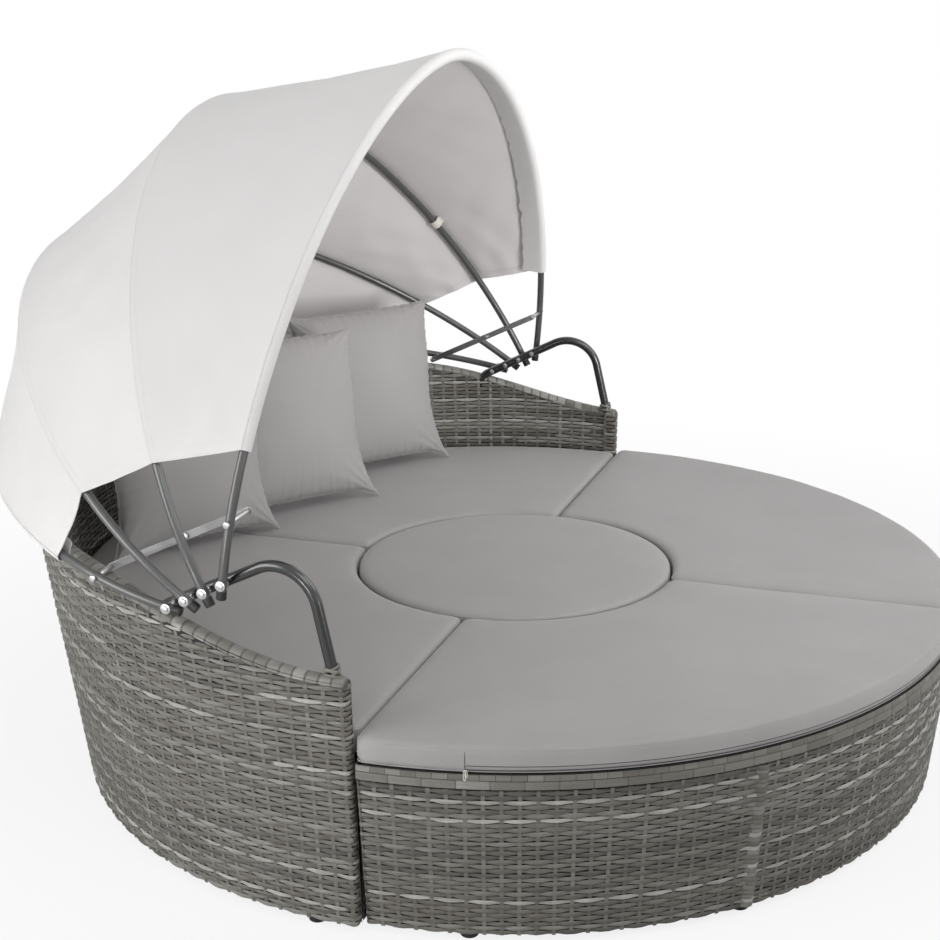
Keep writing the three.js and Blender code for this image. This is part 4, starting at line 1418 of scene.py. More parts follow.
@dataclass
class SofaBase:
    """The half-round sofa: leaning woven back with a wrapped rim, woven front and feet."""

    seed: int = 51
    half_wall: float = 0.0135
    under_rim: float = 0.0085
    rim_start: float = 0.0085
    rim_rise: float = 0.0125
    rim_middle: float = 0.0130
    rim_proud: float = 0.0012
    joint_depth: float = 0.0010
    bolt_bearing: float = 57.0

    @staticmethod
    def _bearing(points: Array) -> Array:
        """Bearings of flat points."""
        return np.arctan2(points[:, 1], points[:, 0])

    def _limit(self, points: Array) -> Array:
        """How high the weave may reach under the rim."""
        return LAYOUT.rim_height(np.clip(self._bearing(points), 0, math.pi)) - self.under_rim

    def _outside(self, z: float) -> Array:
        """Outer face of the back, from the right arm's inner face round to the left's.

        Args:
            z: Height over the floor.

        Returns:
            The line's points.
        """
        thick, gap = LAYOUT.back_thickness, LAYOUT.module_gap
        bearing = np.linspace(0.0, math.pi, 260)
        face = polar(LAYOUT.back_radius(bearing, z), bearing)
        face[:, 1] = np.maximum(face[:, 1], gap)
        reach = float(LAYOUT.back_radius(np.array([0.0]), z)[0])
        right = np.array([[reach - thick, gap + 0.03], [reach - thick, gap]])
        left = right[::-1] * [-1, 1]
        return rounded(np.vstack([right, face, left]), False, 0.024)

    def _inside(self, z: float) -> Array:
        """Inner face of the back, from the left arm round to the right.

        Args:
            z: Height over the floor.

        Returns:
            The line's points.
        """
        bearing = np.linspace(math.pi, 0.0, 260)
        face = polar(LAYOUT.back_radius(bearing, z) - LAYOUT.back_thickness, bearing)
        return face[face[:, 1] > LAYOUT.module_gap + 0.02]

    def _rim(self) -> Piece:
        """The rim: a rail wrapped crosswise with pale strips, whose paleness is partly a painted satin
        highlight.

        Returns:
            The rim.
        """
        random = np.random.default_rng(self.seed + 9)
        wraps, steps, section = 128, 8, 12
        bearing = np.linspace(self.rim_start, math.pi - self.rim_start, wraps * steps + 1)
        z = LAYOUT.rim_height(bearing)
        middle = LAYOUT.back_radius(bearing, z) - LAYOUT.back_thickness / 2
        half = LAYOUT.back_thickness / 2 + self.rim_proud
        points, tones = [], []
        for i, (b, height, radius) in enumerate(zip(bearing, z, middle)):
            joint = i % steps == 0
            if joint:
                tone = float(random.choice(RIM_TONES_AND_HIGHLIGHT))
            pinch = self.joint_depth if joint else 0.0002 * (i % steps) / steps
            ending = max(0.0, 1 - min(i, len(bearing) - 1 - i) / 3)
            pinch += 0.0035 * ending**2
            for k in range(section):
                a = math.pi * k / (section - 1)
                r = radius + math.cos(a) * (half - pinch)
                up = math.sin(a) * (self.rim_rise - pinch) - self.rim_middle
                points.append([r * math.cos(b), max(r * math.sin(b), LAYOUT.module_gap), height + up])
                tones.append(0.05 if joint else tone)
        faces = tube_faces(len(bearing), section)
        rim = from_points("back_wrapped_rim", np.array(points), faces, Finish.WICKER)
        toned(rim, np.array(tones))
        smooth(rim, 60)
        return rim

    @staticmethod
    def _front(_: float) -> Array:
        """The sofa's front: flat panels at the sides and the hollow for the round stool.

        Args:
            _: Height over the floor, not used by the upright front.

        Returns:
            The line's points.
        """
        gap, recess = LAYOUT.module_gap, LAYOUT.recess_radius
        reach = LAYOUT.back_radius_bottom - LAYOUT.back_thickness - 0.002
        start = math.asin(gap / recess)
        arc = polar(recess, np.linspace(math.pi - start, start, 120))
        return rounded(np.vstack([[-reach, gap], arc, [reach, gap]]), False, 0.012)

    def build(self) -> None:
        """Weaves the back's two faces, rim and front, and sets the feet."""
        top = LAYOUT.back_height - 0.008
        outside = Weave(self._outside, LAYOUT.foot_height, top, False, self.seed, limit=self._limit)
        hand_over(outside.piece("back_woven_outside", self.half_wall), "daybed", "wicker", "back_wall")
        inside = Weave(self._inside, LAYOUT.deck_height - 0.02, top, False, self.seed + 5, limit=self._limit)
        hand_over(inside.piece("back_woven_inside", self.half_wall), "daybed", "wicker")
        hand_over(self._rim(), "daybed", "wicker")
        front = Weave(self._front, LAYOUT.foot_height, LAYOUT.deck_height, False, self.seed + 11)
        hand_over(front.piece("back_woven_front", 0.022), "daybed", "wicker", "back_apron")
        inner = [(LAYOUT.recess_radius + 0.011, b) for b in (30, 150)]
        feet("back", LAYOUT.back_radius_bottom - LAYOUT.glide_inset, (6, 50, 90, 130, 174), inner)
        self._bolts()

    def _bolts(self) -> None:
        """Two bolts through the rim, towards the rear."""
        z = LAYOUT.back_height - 0.032
        for side in Side:
            bearing = math.radians(self.bolt_bearing if side is Side.RIGHT else 180 - self.bolt_bearing)
            radius = float(LAYOUT.back_radius(np.array([bearing]), z)[0]) + 0.0003
            steps = [(0.009, 0.0016), (-0.0065, 0.0042)]
            bolt = turned_piece(f"back_bolt_{side.label}_zinc", steps, Finish.ZINC)
            x, y = radius * math.cos(bearing), radius * math.sin(bearing) + LAYOUT.centre_y
            turn = Matrix.Rotation(bearing, 4, "Z") @ Matrix.Rotation(math.atan(LAYOUT.lean_rear), 4, "Y")
            moved(bolt, Matrix.Translation((x, y, z)) @ turn)
            hand_over(bolt, "daybed", "bolt", f"back_bolt_{side.label}")


# cushions


def ripple(points: Array, seed: int, height: float, per_metre: float = 9.0, count: int = 14) -> Array:
    """A soft uneven height over flat points, from a few crossing waves.

    Args:
        points: Flat points.
        seed: Start of the random choice.
        height: Rough height of the waves.
        per_metre: Middle number of waves in a metre.
        count: How many waves are added.

    Returns:
        A height for each point.
    """
    random = np.random.default_rng(seed)
    total = np.zeros(len(points))
    for _ in range(count):
        turn, phase = random.uniform(0, 2 * math.pi, 2)
        waves = per_metre * random.uniform(0.35, 1.6)
        total += np.sin(2 * math.pi * waves * (points @ [math.cos(turn), math.sin(turn)]) + phase) / waves
    return total * height * per_metre / count


SIDE_PROFILE = (
    (0.0080, 0.0), (0.0042, 0.0008), (0.0016, 0.0034), (0.0003, 0.0085), (0.0, 0.016), (0.0, 0.026),
    (0.0, 0.033), (0.0003, 0.0392), (0.0014, 0.0436), (0.0040, 0.0464), (0.0086, 0.0478),
)
BAND_PROFILE = ((0.0006, 0.0070), (0.0002, 0.0150), (0.0, 0.0220), (0.0001, 0.0300), (0.0010, 0.0380))
OUTER_SIDE = 0.6


@dataclass
class SeatCushion:
    """A foam seat cushion: crowned top, soft sides, seams along its edges and a zip on its band."""

    name: str
    node: str
    outline: Outline
    seed: int
    zip_turn: tuple[float, float] | None = None
    corner: float = 0.036
    count: int = 420
    crown: float = 0.0040
    crown_reach: float = 0.045
    above_deck: float = 0.0004
    top_start: float = 0.032
    top_reach: float = 0.014
    unevenness: float = 0.0008
    voxel: float = 0.0065
    quick_voxel: float = 0.014
    seam_radius: float = 0.0012
    thread_radius: float = 0.0007

    def _ring(self, inset: float, z: float) -> Array:
        """A ring of the cushion, at an inset from its widest line and a height above its underside.

        Args:
            inset: The inset.
            z: The height.

        Returns:
            The ring's points.
        """
        line = evenly(rounded(self.outline(0.0), True, self.corner), self.count, True)
        line = line - outward_of(line, True) * inset
        return np.column_stack([line, np.full(self.count, LAYOUT.deck_height + self.above_deck + z)])

    def _body(self) -> Piece:
        """The stuffed body, remeshed and made slightly uneven.

        Returns:
            The body.
        """
        rings = [self._ring(inset, z) for inset, z in SIDE_PROFILE]
        faces = tube_faces(len(rings), self.count)
        body = from_points(self.name, np.vstack(rings), faces, Finish.CUSHION)
        remesh = body.modifiers.new("remesh", "REMESH")
        remesh.mode, remesh.voxel_size = "VOXEL", self.voxel
        soften = body.modifiers.new("soften", "SMOOTH")
        soften.factor, soften.iterations = 0.5, 4
        apply_modifiers(body)
        points = np.empty(len(body.data.vertices) * 3)
        body.data.vertices.foreach_get("co", points)
        points = points.reshape(-1, 3)
        edge = LAYOUT.in_row(self._ring(0.0, 0.0))[:, :2]
        tree = KDTree(len(edge))
        for index, point in enumerate(edge):
            tree.insert((*point, 0.0), index)
        tree.balance()
        inward = np.array([tree.find((x, y, 0.0))[2] for x, y, _ in points])
        lift = np.clip((points[:, 2] - LAYOUT.deck_height - self.top_start) / self.top_reach, 0, 1)
        rise = self.crown * (1 - np.exp(-np.maximum(inward - 0.008, 0) / self.crown_reach))
        points[:, 2] += lift * (rise + ripple(points[:, :2], self.seed, self.unevenness))
        body.data.vertices.foreach_set("co", points.ravel())
        body.data.update()
        activate(body)
        bpy.ops.object.shade_smooth()
        return body

    def _seam(self, label: str, inset: float, z: float) -> Piece:
        """A stitched seam that follows the cushion's edge."""
        ring = whole(self._ring(inset, z), True)
        return swept_bar(f"{self.name}_{label}", ring, self.seam_radius, Finish.CUSHION, 8)

    def _zip(self) -> None:
        """The zip's placket on the band, with dark cords of painted shade in its grooves and upright seam,
        and cord loops where it starts.
        """
        ring = self._ring(0.0, 0.0)
        turn = np.degrees(np.arctan2(ring[:, 1], ring[:, 0])) % 360
        radius = np.hypot(ring[:, 0], ring[:, 1])
        order = np.argsort(turn)
        order = order[radius[order] > OUTER_SIDE]
        along = np.linspace(*self.zip_turn, 120)
        reach = np.interp(along, turn[order], radius[order])
        bearing = np.radians(along)

        def line(height: float, inset: float) -> Array:
            """A line along the zip, at a height and an inset."""
            z = np.full(len(along), LAYOUT.deck_height + height)
            return np.column_stack([polar(reach - inset, bearing), z])

        placket = [swept_bar("fold", line(0.0158, 0.0004), 0.0011, Finish.CUSHION, 8)]
        # Dark cords here and in the upright seam below paint the shade of the zip's grooves.
        lines = [swept_bar("line", line(*place), self.thread_radius, Finish.THREAD, 6)
                 for place in ((0.0141, 0.0001), (0.0068, 0.0006))]
        start = line(0.0, 0.0)[0]
        out = np.array([math.cos(bearing[0]), math.sin(bearing[0]), 0.0])
        upright = [start - out * inset + [0, 0, height] for inset, height in BAND_PROFILE]
        lines.append(swept_bar("line", np.array(upright), 0.0006, Finish.THREAD, 6))
        loops = self._loops(start, out)
        made = (("placket", placket, "cushion_fabric"), ("zip_groove_shade", lines, "cushion_fabric"),
                ("zip_loops", loops, "webbing"))
        for label, parts, slot in made:
            hand_over(joined(f"{self.name}_{label}", parts), "daybed", slot)

    def _loops(self, start: Array, out: Array) -> list[Piece]:
        """Two hanging loops of cord in front of a place on the band.

        Args:
            start: The place.
            out: The outward direction there.

        Returns:
            The loops.
        """
        side = np.array([-out[1], out[0], 0.0])
        proud, half_width, top = 0.0035, 0.0020, 0.008
        turns = np.linspace(0, 2 * math.pi, 22)
        made = []
        for shift, drop in ((0.0, 0.019), (0.0025, 0.013)):
            loop = [start + out * proud + side * (shift + half_width * math.sin(a))
                    + [0, 0, top - drop / 2 + drop / 2 * math.cos(a)] for a in turns]
            made.append(swept_bar("loop", np.array(loop), self.thread_radius, Finish.WEBBING, 6))
        return made

    def build(self) -> None:
        """Makes the body and its seams."""
        body = self._body()
        hand_over(body, "daybed", "cushion_fabric", self.node)
        seams = [self._seam("upper", inset=0.0026, z=0.0415), self._seam("lower", inset=0.0020, z=0.0036)]
        hand_over(joined(f"{self.name}_seams", seams), "daybed", "cushion_fabric")
        if self.zip_turn is not None:
            self._zip()


def quarter_cushion(quarter: Quarter, seed: int) -> SeatCushion:
    """The cushion of a quarter of the circle.

    Args:
        quarter: Which quarter.
        seed: Start of its random unevenness.

    Returns:
        The cushion, not yet built.
    """
    behind = quarter in (Quarter.BACK_LEFT, Quarter.BACK_RIGHT)
    seam, back_and_air = 0.0016, 0.0342

    def outline(_: float) -> Array:
        """The cushion's outline, held off the back where it lies behind.

        Args:
            _: Height over the floor, which changes nothing.

        Returns:
            The outline's points.
        """
        line = quarter.outline(outer=0.8992, inner=0.3297, seam=seam)
        if not behind:
            return line
        bearing = np.clip(np.arctan2(line[:, 1], line[:, 0]), 0, math.pi)
        radius = np.hypot(line[:, 0], line[:, 1])
        reach = LAYOUT.back_radius(bearing, np.full(len(line), LAYOUT.deck_height)) - back_and_air
        line = line * np.where(radius > OUTER_SIDE, reach / radius, 1.0)[:, None]
        side = np.sign(line[:, 0].mean())
        line[:, 0] = side * np.maximum(line[:, 0] * side, seam)
        line[:, 1] = np.maximum(line[:, 1], seam)
        return line

    start = quarter.value * 90.0
    turn = None if behind else (start + 12.0, start + 82.0)
    return SeatCushion(f"{quarter.label}_seat_cushion", f"{quarter.label}_cushion", outline, seed, turn)


def stool_cushion() -> SeatCushion:
    """The round cushion in the middle, not yet built."""
    return SeatCushion("stool_seat_cushion", "stool_cushion", lambda _: circle(0.3252, 360), 77)


@dataclass
class Pillow:
    """A stuffed square scatter cushion, leant on what is behind it."""

    node: str
    x: float
    y: float
    yaw: float
    lean: float
    seed: int
    side: float = 0.420
    thickness: float = 0.130
    pinch: float = 0.027
    waist: float = 0.012
    pucker: float = 0.0009
    edge: float = 0.003
    cells: int = 76

    def _grid(self, face: int) -> Array:
        """Points of one face of the stuffed square, standing on its lower edge.

        Args:
            face: 1 or -1 for the face towards +Y or -Y.

        Returns:
            The points by row.
        """
        s = np.linspace(-1, 1, self.cells + 1)
        s = np.sin(s * math.pi / 2) * 0.35 + s * 0.65
        u, v = np.meshgrid(s, s)
        half = self.side / 2 - self.edge
        pucker = self.pucker * (np.sin(46 * v + self.seed) + np.sin(83 * v + 2 * self.seed)) * (1 - v**8)
        pucker_up = self.pucker * (np.sin(49 * u + self.seed) + np.sin(77 * u + 3 * self.seed)) * (1 - u**8)
        waist = self.waist * np.exp(-(((v + 0.3) / 0.45) ** 2))
        ear = np.clip(u * u * v * np.abs(v), 0, 1) ** 2.5
        x = u * (half - (self.pinch + waist + pucker) * (1 - np.abs(v) ** 5) - 0.005 * ear)
        z = v * (half - (self.pinch + pucker_up) * (1 - np.abs(u) ** 5) - 0.020 * ear) + self.side / 2
        fill = ((1 - u**2) * (1 - v**2)) ** 0.44
        flat = np.stack([x.ravel(), z.ravel()], axis=1)
        crease = ripple(flat, self.seed + face, 0.0040, 6.0, 10).reshape(u.shape) * fill
        corner = np.abs(u * v) ** 2.2
        swing = np.arctan2(np.abs(v) - 1.06, np.abs(u) - 1.06)
        tuck = 0.0042 * np.sin(19 * swing + self.seed + face) * corner
        edge_side = np.exp(-(1 - np.abs(u)) / 0.10) * np.sin(46 * v + self.seed + face)
        edge_up = np.exp(-(1 - np.abs(v)) / 0.10) * np.sin(49 * u + self.seed + face)
        stuffed = (self.thickness - 2 * self.edge) / 2 * fill * 0.985
        depth = stuffed + crease + (tuck + 0.0011 * (edge_side + edge_up)) * fill**0.5
        edge = (np.abs(u) >= 1) | (np.abs(v) >= 1)
        return np.stack([x, np.where(edge, 0.0, face * np.maximum(depth, 0.0008)), z], axis=-1)

    def _border(self) -> Array:
        """The line of the seam round the square, in order."""
        grid = self._grid(1)
        return np.vstack([grid[0, :-1], grid[:-1, -1], grid[-1, :0:-1], grid[:0:-1, 0]])

    def _stand(self, points: Array) -> Array:
        """Leans and turns points of the square and sets them on the seat.

        Args:
            points: The points.

        Returns:
            Their places.
        """
        lean, yaw = math.radians(-self.lean), math.radians(self.yaw)
        turned = points @ np.array(Matrix.Rotation(lean, 3, "X")).T @ np.array(Matrix.Rotation(yaw, 3, "Z")).T
        return turned + np.array([self.x, self.y, 0.0])

    def build(self) -> None:
        """Makes the pillow and its seam and sets them where the CAD pillow stands."""
        front, rear = self._grid(-1), self._grid(1)
        rows = self.cells + 1
        faces = quads(rows, rows)
        faces = np.vstack([faces, faces[:, ::-1] + rows**2])
        points = np.vstack([front.reshape(-1, 3), rear.reshape(-1, 3)])
        body = from_points(f"{self.node}_stuffed", self._stand(points), faces, Finish.CUSHION)
        cleaned(body, weld=0.00005, outward=False)
        border = self._stand(self._border())
        seam = swept_bar(f"{self.node}_stuffed_seam", whole(border, True), 0.0022, Finish.CUSHION, 8)
        low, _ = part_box(self.node)
        corners = np.array([v.co for v in seam.data.vertices])
        shift = Matrix.Translation((0, 0, low.z + 0.0006 - corners[:, 2].min()))
        moved(body, shift)
        moved(seam, shift)
        activate(body)
        bpy.ops.object.shade_smooth()
        hand_over(body, "daybed", "cushion_fabric", self.node)
        hand_over(seam, "daybed", "cushion_fabric")


# canopy frame


@dataclass(frozen=True)
class Bow:
    """A canopy bow: a superelliptic arch in a plane that leans about its two pivots."""

    name: str
    body: str
    pivot: tuple[float, float]
    angle: float
    reach: float
    hem: float
    fold: float
    half_width: float = 0.900
    exponent: float = 1.82
    radius: float = 0.008
    tail: float = 0.025
    bend: float = 0.012
    cap_top: float = 0.010
    cap_wall: float = 0.0008

    def flat(self, count: int) -> tuple[Array, Array]:
        """Places across and away from the pivots, evenly spaced along the arch, from left to right.

        Args:
            count: How many places.

        Returns:
            The places across and those away.
        """
        turn = np.linspace(0, math.pi, 1600)
        power = 2 / self.exponent
        across = -np.sign(np.cos(turn)) * self.half_width * np.abs(np.cos(turn)) ** power
        away = self.reach * np.sin(turn) ** power
        line = evenly(np.stack([across, away], axis=1), count, False)
        return line[:, 0], line[:, 1]

    def on(self, away: Array | float, ahead: Array | float = 0.0) -> Array:
        """Depth and height of places in the arch's plane, or some way in front of it.

        Args:
            away: Distances from the pivots.
            ahead: Distances in front of the plane.

        Returns:
            Depth and height of each.
        """
        angle = math.radians(self.angle)
        y = self.pivot[0] + away * math.cos(angle) - ahead * math.sin(angle)
        z = self.pivot[1] + away * math.sin(angle) + ahead * math.cos(angle)
        return np.stack([y, z], axis=-1)

    def lifted(self, across: Array, away: Array, ahead: Array | float = 0.0) -> Array:
        """Points of the arch's plane about the stool's middle.

        Args:
            across: Places along X.
            away: Distances from the pivots.
            ahead: Distances in front of the plane.

        Returns:
            The points.
        """
        return np.concatenate([across[..., None], self.on(away, ahead)], axis=-1)

    def span(self, away: float) -> float:
        """Half width of the arch at a distance from the pivots."""
        return self.half_width * (1 - (away / self.reach) ** self.exponent) ** (1 / self.exponent)

    def hem_to_hem(self, shares: Array) -> tuple[Array, Array, Array]:
        """Places of the arch between the cover's two hems, with outward directions in its plane.

        Args:
            shares: Shares of the way from hem to hem.

        Returns:
            Places across, places away and directions.
        """
        across, away = self.flat(4000)
        keep = away >= self.hem
        arch = np.stack([across[keep], away[keep]], axis=1)
        line = spaced(arch, shares)
        step = spaced(arch, np.minimum(shares + 0.001, 1)) - spaced(arch, np.maximum(shares - 0.001, 0))
        step /= np.linalg.norm(step, axis=1, keepdims=True)
        return line[:, 0], line[:, 1], np.stack([-step[:, 1], step[:, 0]], axis=1)

    def build(self) -> None:
        """Makes the bow with its straight feet and plastic end caps."""
        across, away = self.flat(160)
        keep = away > self.bend
        start = np.array([[-self.half_width, -self.tail + self.bend], [-self.half_width, 0.0]])
        line = np.vstack([start, np.stack([across[keep], away[keep]], axis=1), start[::-1] * [-1, 1]])
        line = rounded(line, False, self.bend)[::4]
        points = self.lifted(line[:, 0], line[:, 1])
        bar = swept_bar(f"{self.name}_tube", points, self.radius, Finish.TUBE)
        hand_over(bar, self.body, "tube", self.name)
        caps = []
        for side in Side:
            across = np.full(2, side.value * self.half_width)
            line = self.lifted(across, np.array([-self.tail - 0.0007, -self.cap_top]))
            cap = swept_bar("cap", line, self.radius + self.cap_wall, Finish.PLASTIC)
            bevelled(cap, 0.0025, 3)
            caps.append(cap)
        hand_over(joined(f"{self.name}_caps", caps), self.body, "deck")
        self._bolts()

    def _bolts(self) -> None:
        """A bolt through the arm tube and bow at each pivot: head, shank, spacer, washer and nut."""
        y, z = self.pivot
        tube = ARM.span(y)
        start, spacer, head = tube - 0.0165, tube + 0.0117, 0.0048
        bow_in, bow_out = self.half_width - self.radius - 0.0003, self.half_width + self.radius + 0.0003
        steps = [(-0.0062, head), (0.003, spacer - start - head), (0.006, bow_in - spacer),
                 (0.003, bow_out - bow_in), (0.009, 0.0014), (-0.0064, 0.0036)]
        for side in Side:
            bolt = turned_piece(f"{self.name}_pivot_{side.label}", steps, Finish.ZINC)
            turn = Matrix.Rotation(0.3 + y * 40, 4, "X")  # each pivot's bolt has its own turn
            mirror = Matrix.Scale(side.value, 4, (1, 0, 0))
            moved(bolt, mirror @ Matrix.Translation((start, y + LAYOUT.centre_y, z)) @ turn)
            hand_over(bolt, "daybed", "bolt", f"{self.name}_bolt_{side.label}")


@dataclass(frozen=True)
class ArmTube:
    """The bent tube that stands in each arm and carries the canopy's pivots."""

    radius: float = 0.010
    span_front: float = 0.8925
    yaw: float = 0.09488
    front: float = 0.025
    lean: float = 13.0
    bend: float = 0.0753
    bend_middle: tuple[float, float] = (0.1330, 0.5750)
    foot: float = 0.440
    fall: float = 63.435
    lower_bend: float = 0.034
    lower_y: float = 0.323
    end_drop: float = 0.028
    first_pivot: tuple[float, float] = (0.222, 0.614449)
    pitch: float = 0.038

    def span(self, y: float) -> float:
        """Half distance between the two tubes at a depth."""
        return self.span_front - self.yaw * (y - self.front)

    def pivot(self, number: int) -> tuple[float, float]:
        """Depth and height of a bow's pivot, numbered from the front one down the tube's slope.

        Args:
            number: The bow's number.

        Returns:
            Its depth and height.
        """
        fall, along = math.radians(self.fall), number * self.pitch
        y, z = self.first_pivot
        return round(y + along * math.sin(fall), 6), round(z - along * math.cos(fall), 6)

    def _points(self, side: Side) -> Array:
        """Centre line of a tube.

        Args:
            side: The tube's side.

        Returns:
            The line's points.
        """
        fall = math.radians(self.fall)
        upper = polar(self.bend, np.radians(np.linspace(180 - self.lean, self.fall, 24))) + self.bend_middle
        slope = (self.lower_y + self.lower_bend * math.cos(fall) - upper[-1, 0]) / math.sin(fall)
        end = upper[-1] + np.array([math.sin(fall), -math.cos(fall)]) * slope
        middle = [self.lower_y, end[1] - self.lower_bend * math.sin(fall)]
        lower = polar(self.lower_bend, np.radians(np.linspace(self.fall, 0, 12))) + middle
        tip = [self.lower_y + self.lower_bend, middle[1] - self.end_drop]
        flat = np.vstack([[self.front, self.foot], upper, lower, tip])
        return np.array([(side.value * self.span(y), y, z) for y, z in flat])

    def build(self) -> None:
        """Makes both tubes and the strips wound round their feet."""
        for side in Side:
            bar = swept_bar(f"arm_tube_{side.label}_bent", self._points(side), self.radius, Finish.ARM_TUBE)
            hand_over(bar, "daybed", "tube", f"arm_tube_{side.label}")
            self._foot_wraps(side)

    def _foot_wraps(self, side: Side) -> None:
        """Strips wound round the tube's foot, where it leaves the woven arm.

        Args:
            side: The tube's side.
        """
        made = []
        for turn, (height, tilt) in enumerate(((-0.002, 20), (0.003, -16), (0.0072, 22), (0.0110, -6))):
            radius = self.radius + 0.0030 - turn * 0.0004
            deselect()
            bpy.ops.mesh.primitive_torus_add(major_radius=radius, minor_radius=0.0028,
                                             major_segments=28, minor_segments=8)
            ring = bpy.context.object
            z = LAYOUT.arm_height + height
            y = self.front + (z - self.foot) * math.tan(math.radians(self.lean))
            place = Matrix.Translation((side.value * self.span(y), y + LAYOUT.centre_y, z))
            pitched = Matrix.Rotation(math.radians(tilt - self.lean), 4, "X")
            rolled = Matrix.Rotation(math.radians(tilt * 0.7), 4, "Y")
            moved(ring, place @ pitched @ rolled)
            made.append(ring)
        wraps = joined(f"arm_wraps_{side.label}", made)
        dressed(wraps, Finish.WICKER)
        toned(wraps, np.repeat([0.62, 0.45, 0.72, 0.5], len(wraps.data.vertices) // 4))
        smooth(wraps, 60)
        hand_over(wraps, "daybed", "wicker")


ARM = ArmTube()

BOWS = {
    "front": Bow("bow_front", "front_bow", ARM.pivot(0), angle=96.8, reach=0.797, hem=0.218, fold=84.0),
    "middle": Bow("bow_middle", "middle_bow", ARM.pivot(1), angle=63.0, reach=0.797, hem=0.221, fold=50.7),
    "rear": Bow("bow_rear", "rear_bow", ARM.pivot(2), angle=34.7, reach=0.797, hem=0.255, fold=23.1),
    "base": Bow("bow_base", "daybed", ARM.pivot(3), angle=11.0, reach=0.728, hem=0.235, fold=0.0),
}


@dataclass
class Stays:
    """The folding stays: one bar from the front bow into a pair of bars from the fixed bow."""

    front_height: float = 0.104
    rear_reach: float = 0.150
    front_length: float = 0.130
    width: float = 0.013
    thickness: float = 0.0025
    gap: float = 0.0006
    crossing: float = 0.240
    clear: float = 0.012
    link_place: float = 0.0195

    def _bar(self, name: str, start: Array, end: Array, inner: float) -> Piece:
        """A flat bar with round ends between two pins, its inner face some way across the daybed.

        Args:
            name: The bar's name.
            start: Depth and height of its first pin.
            end: Those of its second pin.
            inner: Place of its inner face along X.

        Returns:
            The bar.
        """
        length = float(np.linalg.norm(end - start))
        middle = inner + self.thickness / 2
        deselect()
        bpy.ops.mesh.primitive_cube_add(size=1, location=(middle, length / 2, 0),
                                        scale=(self.thickness, length, self.width))
        bar = bpy.context.object
        settle(bar)
        ends = [rod(self.width / 2, self.thickness, (middle, pin, 0), 32, ALONG_X) for pin in (0.0, length)]
        for cap in ends:
            union = bar.modifiers.new("union", "BOOLEAN")
            union.operation, union.object, union.solver = "UNION", cap, "EXACT"
        apply_modifiers(bar)
        for cap in ends:
            bpy.data.objects.remove(cap)
        bevelled(bar, 0.0004, 2)
        bar.name = bar.data.name = name
        dressed(bar, Finish.STAY)
        turn = math.atan2(end[1] - start[1], end[0] - start[0])
        place = Matrix.Translation((0, start[0] + LAYOUT.centre_y, start[1]))
        moved(bar, place @ Matrix.Rotation(turn, 4, "X"))
        smooth(bar, 30)
        return bar

    @staticmethod
    def _rivet(place: Array, start: float, steps: Pairs, direction: int = 1) -> Piece:
        """A turned rivet or bolt that starts at a place across the daybed.

        Args:
            place: Its depth and height.
            start: Where it starts along X.
            steps: Its profile.
            direction: 1 or -1 for the way it points.

        Returns:
            The rivet or bolt.
        """
        rivet = turned_piece("rivet", steps, Finish.ZINC, 20)
        mirror = Matrix.Scale(direction, 4, (1, 0, 0))
        return moved(rivet, Matrix.Translation((start, place[0] + LAYOUT.centre_y, place[1])) @ mirror)

    def build(self) -> None:
        """Makes the stays of both sides with their rivets and bolts."""
        bow = BOWS["front"]
        front, rear = bow.on(self.front_height), BOWS["base"].on(self.rear_reach)
        elbow = front + (rear - front) / np.linalg.norm(rear - front) * self.front_length
        inside = bow.span(self.crossing) - bow.radius - self.clear
        single = inside - self.gap - 2 * self.thickness
        inner = single - self.gap - self.thickness
        outer = single + self.gap + self.thickness
        for side in Side:
            mirror = Matrix.Scale(side.value, 4, (1, 0, 0))
            front_bar = moved(self._bar(f"front_stay_{side.label}_bar", front, elbow, single), mirror)
            hand_over(front_bar, f"front_stay_{side.label}", "stay", f"stay_front_{side.label}")
            rivet_head = [(0.0048, 0.001), (0.0030, 0.0008)]
            along = (rear - elbow) / np.linalg.norm(rear - elbow)
            shank = [(0.004, outer - inner - self.thickness)]
            parts = [
                self._bar("inner", elbow, rear, inner),
                self._bar("outer", elbow, rear, outer),
                self._rivet(elbow, inner, rivet_head, -1),
                self._rivet(elbow, outer + self.thickness, rivet_head),
                self._rivet(rear - along * self.link_place, inner + self.thickness, shank),
            ]
            pair = moved(joined(f"rear_stay_{side.label}_bars", parts), mirror)
            hand_over(pair, f"rear_stay_{side.label}", "stay", f"stay_rear_{side.label}")
            self._pin("front", side, self.front_height, single, single + self.thickness)
            self._pin("rear", side, self.rear_reach, inner, outer + self.thickness)

    def _pin(self, label: str, side: Side, away: float, start: float, end: float) -> None:
        """Sets a bolt through a bow and the stays that end there.

        Args:
            label: Front or rear stay.
            side: Side of the daybed.
            away: The bolt's distance from the bow's pivots.
            start: Inner face of the bars.
            end: Outer face of the bars.
        """
        bow = BOWS["front"] if label == "front" else BOWS["base"]
        slope, head = 0.0022, 0.0018
        bow_in, bow_out = bow.span(away) - bow.radius - slope, bow.span(away) + bow.radius + slope
        first, spacer = start - 0.0022, end + 0.0003
        steps = [(0.005, head), (0.003, spacer - first - head), (0.005, bow_in - spacer),
                 (0.003, bow_out - bow_in), (-0.0060, 0.0045)]
        bolt = moved(self._rivet(bow.on(away), first, steps), Matrix.Scale(side.value, 4, (1, 0, 0)))
        bolt.name = f"stay_{label}_pin_{side.label}"
        hand_over(bolt, bow.body, "bolt", f"stay_bolt_{label}_{side.label}")


# canopy cover


CLOTH_LENGTH = 2.05
HEM_STEPS = (0.0, 0.0015, 0.0090, 0.0170, 0.0186, 0.0202, 0.0225)
SEAM_STEPS = (0.0, 0.0012, 0.0085, 0.0096, 0.0112)
HEM_WIDTH, SEAM_WIDTH = 0.0186, 0.0094


